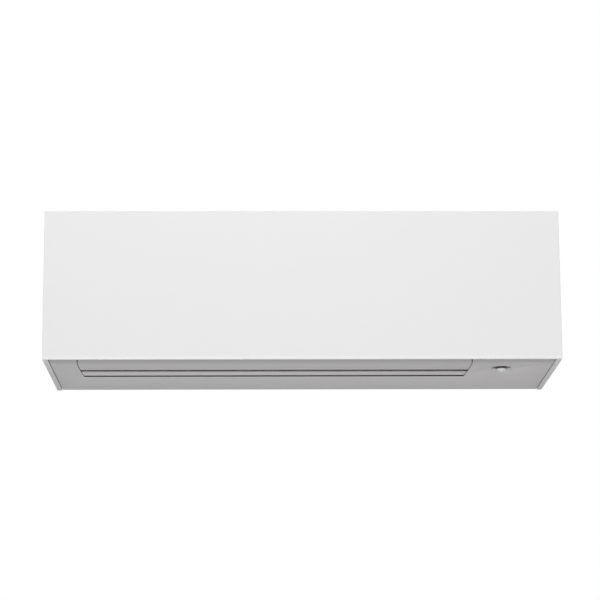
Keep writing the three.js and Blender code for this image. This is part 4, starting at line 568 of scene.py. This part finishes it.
def rounded(node, radius, material, segments=2, shape=None, inner=None):
    """A copy of a node with its longer sharp edges rounded, standing in for it.

    `shape` works on the copy first, and `inner` is a second material with a test for its faces.
    """
    mesh = merged_copy(node)
    if shape:
        shape(mesh)
    if inner:
        for face in mesh.faces:
            face.material_index = int(inner[1](face))
    edges = [
        edge
        for edge in mesh.edges
        if len(edge.link_faces) == 2
        and edge.calc_length() > radius * MOULDED_LENGTH
        and edge.calc_face_angle(0) > math.radians(MOULDED_ANGLE)
    ]
    bmesh.ops.bevel(
        mesh, geom=edges, offset=radius, offset_type="OFFSET", segments=segments, profile=0.5,
        affect="EDGES", clamp_overlap=True, material=0 if inner else -1, loop_slide=True,
    )
    piece = add_piece(node + "_moulded", mesh, material, node, (node,))
    if inner:
        piece.data.materials.append(inner[0])
    return piece


def paint(nodes, material):
    """Gives CAD nodes a finish."""
    for name in nodes:
        data = frame["nodes"][name].data
        data.materials.clear()
        data.materials.append(material)


def tube(mesh, start, end, radius, sides):
    """Adds a straight round bar to a bmesh."""
    start, end = Vector(start), Vector(end)
    turn = (end - start).to_track_quat("Z", "Y").to_matrix().to_4x4()
    place = Matrix.Translation((start + end) / 2) @ turn
    bmesh.ops.create_cone(
        mesh, cap_ends=True, segments=sides, radius1=radius, radius2=radius,
        depth=(end - start).length, matrix=place,
    )


# ------------------------------------------------------------------ operators


def faces_a_seam(face):
    """Whether a face of the cover stands in a seam beside the outlet or the side strips, where it gets the painted
    seam shade.
    """
    middle = face.calc_center_median()
    by_sensor = SEAM_LIMIT < middle.x < COVER_HIGH.x - 0.01
    behind_panel = middle.y < COVER_LOW.y + 0.003 and abs(face.normal.y) > 0.5
    return (
        abs(face.normal.z) < 0.4 and face.normal.y < 0.7 and not by_sensor and not behind_panel
    )


def faces_forward(face):
    """Whether a face of the narrow flap stands along its front edge, which is painted nearly black as painted
    shade.
    """
    return face.normal.y < -0.5


def wider_gap(mesh):
    """Draws the outlet's rear edge back from the narrow flap a little."""
    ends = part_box("second_flap")
    for vert in mesh.verts:
        behind = 0.0 < vert.co.y - ends[1].y < OUTLET_REACH
        if behind and ends[0].x - OUTLET_MARGIN < vert.co.x < ends[1].x + OUTLET_MARGIN:
            vert.co.y += OUTLET_EASE


def shorter_rear(mesh):
    """Eases the front corners of the wide flap, and draws its rear edge forward a little."""
    eased_corners(mesh)
    rear = max(vert.co.y for vert in mesh.verts)
    for vert in mesh.verts:
        if vert.co.y > rear - AT_EDGE:
            vert.co.y -= REAR_EASE


def station_feet(mesh):
    """The lowest height of a flap at each of its places front to back."""
    feet = {}
    for vert in mesh.verts:
        key = round(vert.co.y, 4)
        feet[key] = min(feet.get(key, vert.co.z), vert.co.z)
    return feet


def thin_front_edge(mesh):
    """Lowers the upper side of the narrow flap towards its front edge, so that it ends thin."""
    feet = station_feet(mesh)
    front = min(feet)
    for vert in mesh.verts:
        reach = vert.co.y - front
        if reach < THIN_REACH:
            foot = feet[round(vert.co.y, 4)]
            vert.co.z = foot + (vert.co.z - foot) * (THIN_EDGE + THIN_RISE * reach)
            vert.co.y += THIN_EASE * (1 - reach / THIN_REACH)


def eased_corners(mesh):
    """Draws the front corners of the wide flap in from the ends of the outlet."""
    front = min(vert.co.y for vert in mesh.verts)
    middle = (min(vert.co.x for vert in mesh.verts) + max(vert.co.x for vert in mesh.verts)) / 2
    for vert in mesh.verts:
        reach = vert.co.y - front
        if reach < CORNER_REACH:
            ease = CORNER_EASE - CORNER_TAPER * reach
            vert.co.x -= math.copysign(ease, vert.co.x - middle)


class MakeHousing(bpy.types.Operator):
    """Front panel, casing, top grille and underside with rounded moulded edges."""

    bl_idname = "indoor_unit.housing"
    bl_label = "Housing"

    def execute(self, context):
        settings = context.scene.unit_housing
        edge = settings.edge
        panel = panel_plastic("panel_plastic", tuple(settings.panel))
        casing = moulded_plastic(
            "casing_plastic", tuple(settings.casing), settings.grain, 0.46
        ).material
        cover = underside_plastic("underside_plastic", tuple(settings.underside), settings)
        seam = seam_shade_paint("seam_plastic")
        rounded("front_panel", edge, panel, 3)
        rounded("front_casing", edge, casing)
        # the cover's faces in the seams are painted nearly black: painted shade
        rounded("underside_cover", edge * 0.6, cover, shape=wider_gap, inner=(seam, faces_a_seam))
        rounded("top_grille", edge * 0.8, casing)
        self.shade_strips(seam)
        return {"FINISHED"}

    @staticmethod
    def shade_strips(material):
        """Dark strips in the seams between the cover and the side strips, standing in for the shade in those
        seams.
        """
        mesh = bmesh.new()
        reach = COVER_HIGH.x
        for side in (-1, 1):
            for start, end in SHADE_STRIP_RUNS:
                corners = []
                for y in (start, end):
                    foot = underside(y) + SHADE_STRIP_LIFT
                    edge = reach + (COVER_LOW.y - y) * SIDE_SLOPE
                    for x in (edge - SHADE_STRIP_INWARD, edge + SHADE_STRIP_OUTWARD):
                        corners += [(x * side, y, foot), (x * side, y, foot + SHADE_STRIP_HEIGHT)]
                verts = [mesh.verts.new(corner) for corner in corners]
                bmesh.ops.convex_hull(mesh, input=verts)
        add_piece("seam_seals", mesh, material, "front_casing")


class MakeFlaps(bpy.types.Operator):
    """Both outlet flaps and their motors."""

    bl_idname = "indoor_unit.flaps"
    bl_label = "Flaps"

    def execute(self, context):
        settings = context.scene.unit_housing
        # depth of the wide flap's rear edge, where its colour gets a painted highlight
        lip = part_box("main_flap")[1].y - PANEL_LOW.y
        flap = underside_plastic("flap_plastic", tuple(settings.flap), settings, lip)
        # the narrow flap has the flaps' colour painted 10 % lighter: a painted highlight
        narrow = underside_plastic("narrow_flap_plastic", shade(settings.flap, 1.1), settings)
        rounded("main_flap", settings.edge * 0.5, flap, shape=shorter_rear)
        # the narrow flap's front edge is painted nearly black: painted shade in the gap before it
        edge_shade = seam_shade_paint("flap_seal_rubber")
        rounded(
            "second_flap", settings.edge * 0.3, narrow, shape=thin_front_edge,
            inner=(edge_shade, faces_forward),
        )
        paint(["main_flap_motor", "second_flap_motor"], zinc_sheet("motor_can"))
        return {"FINISHED"}


class MakeSensor(bpy.types.Operator):
    """Sensor dish, its faceted lens, the lamp window and the switch."""

    bl_idname = "indoor_unit.sensor"
    bl_label = "Sensor and lamp"

    def execute(self, context):
        settings = context.scene.unit_housing
        rounded("sensor_housing", 0.0003, shaded_dish(tuple(settings.underside), settings.grain))
        self.lens(milky_plastic("lens_plastic", (0.88, 0.88, 0.87), 0.16))
        rounded("lamp_window", 0.0002, milky_plastic("lamp_plastic", (0.1, 0.1, 0.1), 0.62))
        button = moulded_plastic("button_plastic", (0.6, 0.6, 0.6), settings.grain, 0.4).material
        rounded("switch_button", 0.0005, button)
        return {"FINISHED"}

    @staticmethod
    def lens(material):
        """A dome of flat lenslets, parted by fine grooves, under a flat collar."""
        low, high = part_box("sensor_lens")
        centre = (low + high) / 2
        collar = (high.x - low.x) / 2
        radius = collar * LENS_DOME
        drop = (high.z - low.z) * LENS_DROP
        mesh = bmesh.new()
        bmesh.ops.create_uvsphere(
            mesh, u_segments=LENS_COLUMNS, v_segments=LENS_ROWS, radius=radius
        )
        bmesh.ops.bisect_plane(
            mesh, geom=mesh.verts[:] + mesh.edges[:] + mesh.faces[:], plane_co=(0, 0, 0),
            plane_no=(0, 0, 1), clear_outer=True, dist=1e-6,
        )
        bmesh.ops.scale(mesh, verts=mesh.verts, vec=(1, 1, drop / radius))
        bmesh.ops.inset_individual(
            mesh, faces=mesh.faces[:], thickness=LENS_GROOVE, depth=LENS_BULGE
        )
        for reach, rise in ((collar - radius, 0.0), (0.0, high.z - low.z - drop)):
            rim = [edge for edge in mesh.edges if len(edge.link_faces) == 1]
            grown = bmesh.ops.extrude_edge_only(mesh, edges=rim)["geom"]
            for vert in [item for item in grown if isinstance(item, bmesh.types.BMVert)]:
                flat = Vector((vert.co.x, vert.co.y, 0))
                vert.co += flat.normalized() * reach + Vector((0, 0, rise))
        bmesh.ops.holes_fill(mesh, edges=[e for e in mesh.edges if len(e.link_faces) == 1])
        bmesh.ops.recalc_face_normals(mesh, faces=mesh.faces)
        shift = Vector((centre.x, centre.y, low.z + drop))
        bmesh.ops.translate(mesh, verts=mesh.verts, vec=shift)
        # painted shade: the collar and the upper rows of lenslets are painted nearly black
        for face in mesh.faces:
            face.material_index = int(face.calc_center_median().z > low.z + drop * LENS_DROP)
        lens = add_piece("lens_facets", mesh, material, "sensor_lens", ("sensor_lens",), 18)
        lens.data.materials.append(dark_plastic("lens_collar_plastic", (0.06, 0.06, 0.062)))


class MakeFan(bpy.types.Operator):
    """The crossflow fan with all its curved blades, its motor and its bearing."""

    bl_idname = "indoor_unit.fan"
    bl_label = "Crossflow fan"

    def execute(self, context):
        settings = context.scene.unit_inner
        dark = dark_plastic("fan_plastic", tuple(settings.dark))
        hub = next(j for j in frame["joints"] if j["name"] == "fan_spin")["pos_m"]
        centre = Vector((0, hub[1], hub[2]))
        radius = (FAN_HIGH.z - FAN_LOW.z) / 2
        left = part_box("fan_bearing")[1].x + FAN_END_GAPS[0]
        right = FAN_HIGH.x - FAN_END_GAPS[1]
        pitch = (right - left - FAN_DISC) / settings.fan_sections
        mesh = bmesh.new()
        for index in range(settings.fan_sections + 1):
            x = left + pitch * index
            tube(mesh, (x, *centre.yz), (x + FAN_DISC, *centre.yz), radius, 48)
        for index in range(settings.fan_sections):
            x = left + pitch * index + FAN_DISC
            lead = index * FAN_TWIST
            self.ring(mesh, x, pitch - FAN_DISC, centre, radius, settings.fan_blades, lead)
        for start, end, bar, sides in (
            (left - 0.004, left, 0.012, 24),  # boss beside the bearing
            (FAN_LOW.x, left, 0.004, 20),  # pin in the bearing
            (right, FAN_HIGH.x, 0.014, 24),  # hub on the motor's shaft
        ):
            tube(mesh, (start, *centre.yz), (end, *centre.yz), bar, sides)
        add_piece("fan_rotor", mesh, dark, "crossflow_fan", ("crossflow_fan",), 40)
        paint(["fan_motor"], zinc_sheet("fan_motor_can"))
        paint(["fan_bearing", "drain_plug"], rubber("rubber"))
        return {"FINISHED"}

    @staticmethod
    def ring(mesh, x, reach, centre, radius, blades, lead):
        """One section's blades: a curved strip with thickness, spun round the shaft."""
        inner, outer = radius - BLADE_DEPTH, radius - BLADE_INSET
        rows = []
        for step in range(BLADE_STEPS + 1):
            share = step / BLADE_STEPS
            distance = inner + (outer - inner) * share
            turn = math.radians(lead - BLADE_SWEEP * share * share)
            half = BLADE_HALF * (1 + math.sin(math.pi * share)) / distance
            rows.append((distance, turn - half, turn + half))
        outline = [(d, low) for d, low, _ in rows] + [(d, high) for d, _, high in reversed(rows)]
        verts = [
            mesh.verts.new(
                (x, centre.y + d * math.cos(angle), centre.z + d * math.sin(angle))
            )
            for d, angle in outline
        ]
        face = mesh.faces.new(verts)
        grown = bmesh.ops.extrude_face_region(mesh, geom=[face], use_keep_orig=True)["geom"]
        tips = [item for item in grown if isinstance(item, bmesh.types.BMVert)]
        bmesh.ops.translate(mesh, verts=tips, vec=(reach, 0, 0))
        blade = {item for item in grown if isinstance(item, bmesh.types.BMFace)} | {face}
        for vert in verts:
            blade.update(vert.link_faces)
        geom = list(blade)
        bmesh.ops.recalc_face_normals(mesh, faces=geom)
        bmesh.ops.spin(
            mesh, geom=geom, cent=(x, centre.y, centre.z), axis=(1, 0, 0),
            angle=math.tau * (blades - 1) / blades, steps=blades - 1, use_duplicate=True,
        )


class MakeHeatExchanger(bpy.types.Operator):
    """Packed fins on copper tubes in place of the plain fin blocks."""

    bl_idname = "indoor_unit.heat_exchanger"
    bl_label = "Heat exchanger"

    def execute(self, context):
        settings = context.scene.unit_inner
        fins = aluminium_fins("fin_aluminium")
        copper = bare_metal("tube_copper", tuple(settings.copper), 0.28, 0.5)
        for name in ("coil_front_lower", "coil_front_upper", "coil_rear"):
            self.slab(name, settings.fin_pitch, fins, copper)
        plates = zinc_sheet("end_plate_sheet")
        bends = bare_metal("bend_copper", tuple(settings.copper), 0.26, 0.6)
        paint(["gas_pipe", "liquid_pipe", "pipe_thermistor"], bends)
        paint(["gas_nut", "liquid_nut"], bare_metal("nut_brass", (0.72, 0.52, 0.24), 0.3, 0.35))
        self.end_plates(plates, bends)
        return {"FINISHED"}

    @staticmethod
    def end_plates(sheet, bends):
        """The sheet of each end plate is zinc coated, and the return bends on it are copper."""
        for name in ("coil_plate_left", "coil_plate_right"):
            node = frame["nodes"][name]
            low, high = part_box(name)
            sheet_x = high.x if "left" in name else low.x
            node.data.materials.clear()
            node.data.materials.append(sheet)
            node.data.materials.append(bends)
            for face in node.data.polygons:
                face.material_index = int(abs(face.center.x - sheet_x) > PLATE_THICKNESS)

    @staticmethod
    def slab(name, pitch, fins, copper):
        """One slab: its outline across X comes from the block that it stands for."""
        source = merged_copy(name)
        low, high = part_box(name)
        section = sorted(
            {(round(v.co.y, 5), round(v.co.z, 5)) for v in source.verts if v.co.x < low.x + 1e-5}
        )
        source.free()
        centre = sum((Vector(p) for p in section), Vector((0, 0))) / len(section)
        ring = sorted(section, key=lambda p: math.atan2(p[1] - centre.y, p[0] - centre.x))
        mesh = bmesh.new()
        first = mesh.faces.new([mesh.verts.new((low.x, y, z)) for y, z in ring])
        grown = bmesh.ops.extrude_face_region(mesh, geom=[first], use_keep_orig=True)["geom"]
        tips = [item for item in grown if isinstance(item, bmesh.types.BMVert)]
        bmesh.ops.translate(mesh, verts=tips, vec=(FIN_THICKNESS, 0, 0))
        bmesh.ops.recalc_face_normals(mesh, faces=mesh.faces)
        fin = mesh.faces[:]
        count = int((high.x - low.x) / pitch)
        for index in range(1, count + 1):
            copied = bmesh.ops.duplicate(mesh, geom=fin)["geom"]
            verts = [item for item in copied if isinstance(item, bmesh.types.BMVert)]
            shift = (high.x - low.x - FIN_THICKNESS) * index / count
            bmesh.ops.translate(mesh, verts=verts, vec=(shift, 0, 0))
        add_piece(name + "_fins", mesh, fins, name, (name,))
        corners = [Vector(p) for p in ring]
        sides = sorted(range(4), key=lambda i: -(corners[i] - corners[(i + 1) % 4]).length)
        long_a, long_b = sorted(sides[:2])
        start = (corners[long_a] + corners[(long_b + 1) % 4]) / 2
        end = (corners[(long_a + 1) % 4] + corners[long_b]) / 2
        along = (end - start).normalized()
        across = Vector((-along.y, along.x))
        run = (end - start).length
        tubes = bmesh.new()
        rows = max(2, int(run / TUBE_PITCH))
        for row in range(rows):
            for side in (-1, 1):
                spot = start + along * run * (row + 0.5 + TUBE_STAGGER * side) / rows
                spot = spot + across * TUBE_OFFSET * side
                tube(tubes, (low.x, *spot), (high.x, *spot), TUBE_RADIUS, 12)
        add_piece(name + "_tubes", tubes, copper, name)


class MakeFilters(bpy.types.Operator):
    """Filter frames with their woven net."""

    bl_idname = "indoor_unit.filters"
    bl_label = "Air filters"

    def execute(self, context):
        settings = context.scene.unit_inner
        plastic = dark_plastic("filter_plastic", (0.045, 0.065, 0.085))
        net = net_threads("filter_net", settings.net_pitch, (0.05, 0.075, 0.1))
        for side in ("left", "right"):
            name = "air_filter_" + side
            paint([name], plastic)
            self.net(name, net)
        return {"FINISHED"}

    @staticmethod
    def net(name, material):
        """A sheet along the middle of the frame, from its foot over the bend to its rear edge."""
        low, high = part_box(name)
        half = NET_MARGIN / 2
        y, z = low.y + half, high.z - half
        line = [(y, low.z + NET_MARGIN)]
        for step in range(NET_STEPS + 1):
            angle = math.pi - math.pi / 2 * step / NET_STEPS
            reach, rise = NET_BEND * math.cos(angle), NET_BEND * math.sin(angle)
            line.append((y + NET_BEND + reach, z - NET_BEND + rise))
        line.append((high.y - NET_MARGIN, z))
        mesh = bmesh.new()
        left, right = low.x + NET_MARGIN, high.x - NET_MARGIN
        verts = [mesh.verts.new((left, *point)) for point in line]
        edges = [mesh.edges.new(pair) for pair in zip(verts, verts[1:])]
        grown = bmesh.ops.extrude_edge_only(mesh, edges=edges)["geom"]
        tips = [item for item in grown if isinstance(item, bmesh.types.BMVert)]
        bmesh.ops.translate(mesh, verts=tips, vec=(right - left, 0, 0))
        lengths = {}
        run = 0.0
        for index, point in enumerate(line):
            if index:
                run += math.dist(point, line[index - 1])
            lengths[tuple(round(p, 5) for p in point)] = run
        layer = mesh.loops.layers.uv.new("net")
        for face in mesh.faces:
            for loop in face.loops:
                co = loop.vert.co
                key = (round(co.y, 5), round(co.z, 5))
                loop[layer].uv = (co.x - left, lengths.get(key, 0.0))
        add_piece(name + "_net", mesh, material, name, (), 60)


class MakeInside(bpy.types.Operator):
    """Chassis, drain pan, air direction blades and electrical parts."""

    bl_idname = "indoor_unit.inside"
    bl_label = "Chassis and electrical parts"

    def execute(self, context):
        settings = context.scene.unit_inner
        grain = context.scene.unit_housing.grain
        paint(["rear_casing"], dark_plastic("chassis_plastic", (0.07, 0.073, 0.078)))
        paint(["drain_pan"], dark_plastic("pan_plastic", (0.03, 0.031, 0.033)))
        dark = dark_plastic("blade_plastic", tuple(settings.dark))
        blades = [name for name in frame["nodes"] if name.startswith(("blade_", "link_rod_"))]
        paint(blades, dark)
        inner = moulded_plastic("inner_plastic", (0.42, 0.43, 0.43), grain, 0.5, dust=0.15)
        paint(["electrical_box", "electrical_cover", "cord_clamp"], inner.material)
        paint(["motor_bracket"], zinc_sheet("bracket_sheet"))
        paint(["terminal_block", "room_thermistor"], dark_plastic("terminal_plastic", (0.03,) * 3))
        board_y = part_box("control_board")[1].y - BOARD_THICKNESS
        paint(["control_board"], circuit_board("circuit_board", board_y))
        self.screws()
        return {"FINISHED"}

    @staticmethod
    def screws():
        """Cross-headed screws in the covers behind the front panel."""
        steel = bare_metal("screw_steel", (0.56, 0.56, 0.57), 0.3, 0.3, 0.004)
        low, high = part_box("electrical_cover")
        spots = (
            (low.x + SCREW_INSET, low.y, low.z + SCREW_DROP),
            (high.x - SCREW_INSET, low.y, high.z - SCREW_DROP),
        )
        mesh = bmesh.new()
        for spot in spots:
            cross_head(mesh, Vector(spot), Vector((0, -1, 0)), SCREW_RADIUS)
        add_piece("cover_screws", mesh, steel, "electrical_cover", (), 40)


def cross_head(mesh, spot, outward, radius):
    """A pan head with a cross recess, on a surface at `spot`."""
    part = bmesh.new()
    tube(part, (0, 0, -0.0002), (0, 0, radius * 0.55), radius, 24)
    top = [e for e in part.edges if all(v.co.z > radius * 0.5 for v in e.verts)]
    bmesh.ops.bevel(
        part, geom=top, offset=radius * 0.35, segments=3, profile=0.5, affect="EDGES", material=-1
    )
    arm = radius * 0.5
    for turn in (0, math.pi / 2):
        place = Matrix.Translation((0, 0, radius * 0.551)) @ Matrix.Rotation(turn, 4, "Z")
        size = Matrix.Diagonal((arm * 2, radius * 0.22, radius * 0.02, 1))
        bmesh.ops.create_cube(part, size=1, matrix=place @ size)
    turn = Vector((0, 0, 1)).rotation_difference(outward).to_matrix().to_4x4()
    bmesh.ops.transform(part, matrix=Matrix.Translation(spot) @ turn, verts=part.verts)
    data = bpy.data.meshes.new("screw")
    part.to_mesh(data)
    part.free()
    mesh.from_mesh(data)
    bpy.data.meshes.remove(data)


class MakeWallPlate(bpy.types.Operator):
    """The zinc coated plate that carries the unit."""

    bl_idname = "indoor_unit.wall_plate"
    bl_label = "Wall plate"

    def execute(self, context):
        paint(["mounting_plate"], zinc_sheet("plate_sheet"))
        return {"FINISHED"}


LAMPS = (  # name of the lamp and of its power's setting, place, size
    ("key", (-0.2, -2.8, 1.9), 2.2),
    ("kick", (0.1, -6.4, -3.1), 4.0),
    ("rear", (-2.2, 3.6, 2.4), 3.0),
)
LAMP_AIM = (0, -0.12, 0)
FLOOR_RADIUS = 20
FLOOR_TONE = (0.54, 0.54, 0.54)  # for the light that it sends back up
FLOOR_SEEN = (0.9, 0.9, 0.9)  # for the camera
FLOOR_GLOW = 0.92  # share of plain white in what the camera sees


class MakeStage(bpy.types.Operator):
    """Camera, floor and lamps."""

    bl_idname = "indoor_unit.stage"
    bl_label = "Stage"

    def execute(self, context):
        settings = context.scene.unit_stage
        self.camera(context.scene, settings)
        self.world(context.scene, settings.ambient)
        self.floor(settings.floor_drop)
        for name, place, size in LAMPS:
            self.lamp(name, place, size, getattr(settings, name))
        context.scene.view_settings.view_transform = "Standard"
        return {"FINISHED"}

    @staticmethod
    def camera(scene, settings):
        """The camera of the photograph."""
        data = bpy.data.cameras.new("camera")
        data.sensor_width = 36
        data.lens = settings.focal
        camera = bpy.data.objects.new("camera", data)
        bpy.context.collection.objects.link(camera)
        camera.location = settings.camera
        forward = Vector((
            math.sin(settings.yaw) * math.cos(settings.pitch),
            math.cos(settings.yaw) * math.cos(settings.pitch),
            math.sin(settings.pitch),
        ))
        camera.rotation_mode = "QUATERNION"
        roll = Quaternion((0, 0, 1), settings.roll)
        camera.rotation_quaternion = forward.to_track_quat("-Z", "Y") @ roll
        scene.camera = camera

    @staticmethod
    def world(scene, strength):
        """Even light all round, and plain white where the camera or gloss looks past the unit."""
        world = bpy.data.worlds.new("studio")
        world.use_nodes = True
        sky = Tree(world.node_tree)
        path = sky.add("ShaderNodeLightPath")
        seen, mirrored, passed = (
            Value(sky, path.outputs[name])
            for name in ("Is Camera Ray", "Is Glossy Ray", "Is Transmission Ray")
        )
        white = seen.larger(mirrored).larger(passed)
        level = strength + white * (1 - strength)
        inputs = {"Color": (1, 1, 1), "Strength": level}
        background = sky.add("ShaderNodeBackground", {}, inputs)
        sky.add("ShaderNodeOutputWorld", {}, {0: background.outputs[0]})
        scene.world = world

    @staticmethod
    def floor(drop):
        """A pale floor, as far below as under a unit on its wall."""
        mesh = bmesh.new()
        bmesh.ops.create_circle(mesh, cap_ends=True, segments=64, radius=FLOOR_RADIUS)
        bmesh.ops.translate(mesh, verts=mesh.verts, vec=(0, 0, -drop))
        data = bpy.data.meshes.new("floor")
        mesh.to_mesh(data)
        mesh.free()
        nodes = Nodes("floor_white", **{"Roughness": 0.9, "Specular IOR Level": 0.0})
        path = nodes.add("ShaderNodeLightPath")
        seen = Value(nodes, path.outputs["Is Camera Ray"])
        nodes.tone(nodes.mix(seen, FLOOR_TONE, FLOOR_SEEN))
        glow = nodes.add("ShaderNodeEmission", {}, {"Color": (1, 1, 1), "Strength": 1.0})
        mixed = nodes.add("ShaderNodeMixShader", {}, {
            0: seen * FLOOR_GLOW, 1: nodes.surface.outputs[0], 2: glow.outputs[0]})
        nodes.feed(nodes.out.inputs["Surface"], mixed.outputs[0])
        data.materials.append(nodes.material)
        floor = bpy.data.objects.new("floor", data)
        bpy.context.collection.objects.link(floor)

    @staticmethod
    def lamp(name, place, size, power):
        """A square lamp that faces the unit."""
        data = bpy.data.lights.new(name, "AREA")
        data.size = size
        data.energy = power
        lamp = bpy.data.objects.new(name, data)
        bpy.context.collection.objects.link(lamp)
        lamp.location = place
        aim = Vector(LAMP_AIM) - Vector(place)
        lamp.rotation_mode = "QUATERNION"
        lamp.rotation_quaternion = aim.to_track_quat("-Z", "Y")


MAKERS = (
    MakeStage,
    MakeHousing,
    MakeFlaps,
    MakeSensor,
    MakeFilters,
    MakeHeatExchanger,
    MakeFan,
    MakeInside,
    MakeWallPlate,
)


class UnitPanel(bpy.types.Panel):
    """Lists the makers of the unit's pieces."""

    bl_idname = "VIEW3D_PT_indoor_unit"
    bl_label = "Indoor Unit"
    bl_space_type = "VIEW_3D"
    bl_region_type = "UI"
    bl_category = "Indoor Unit"

    def draw(self, context):
        for maker in MAKERS:
            self.layout.operator(maker.bl_idname)


CLASSES = (HousingSettings, InnerSettings, StageSettings, *MAKERS, UnitPanel)


def register():
    for cls in CLASSES:
        bpy.utils.register_class(cls)
    bpy.types.Scene.unit_housing = PointerProperty(type=HousingSettings)
    bpy.types.Scene.unit_inner = PointerProperty(type=InnerSettings)
    bpy.types.Scene.unit_stage = PointerProperty(type=StageSettings)


def unregister():
    del bpy.types.Scene.unit_stage
    del bpy.types.Scene.unit_inner
    del bpy.types.Scene.unit_housing
    for cls in reversed(CLASSES):
        bpy.utils.unregister_class(cls)


def main():
    register()
    for maker in MAKERS:
        group, name = maker.bl_idname.split(".")
        getattr(getattr(bpy.ops, group), name)()


if __name__ == "__main__":
    main()
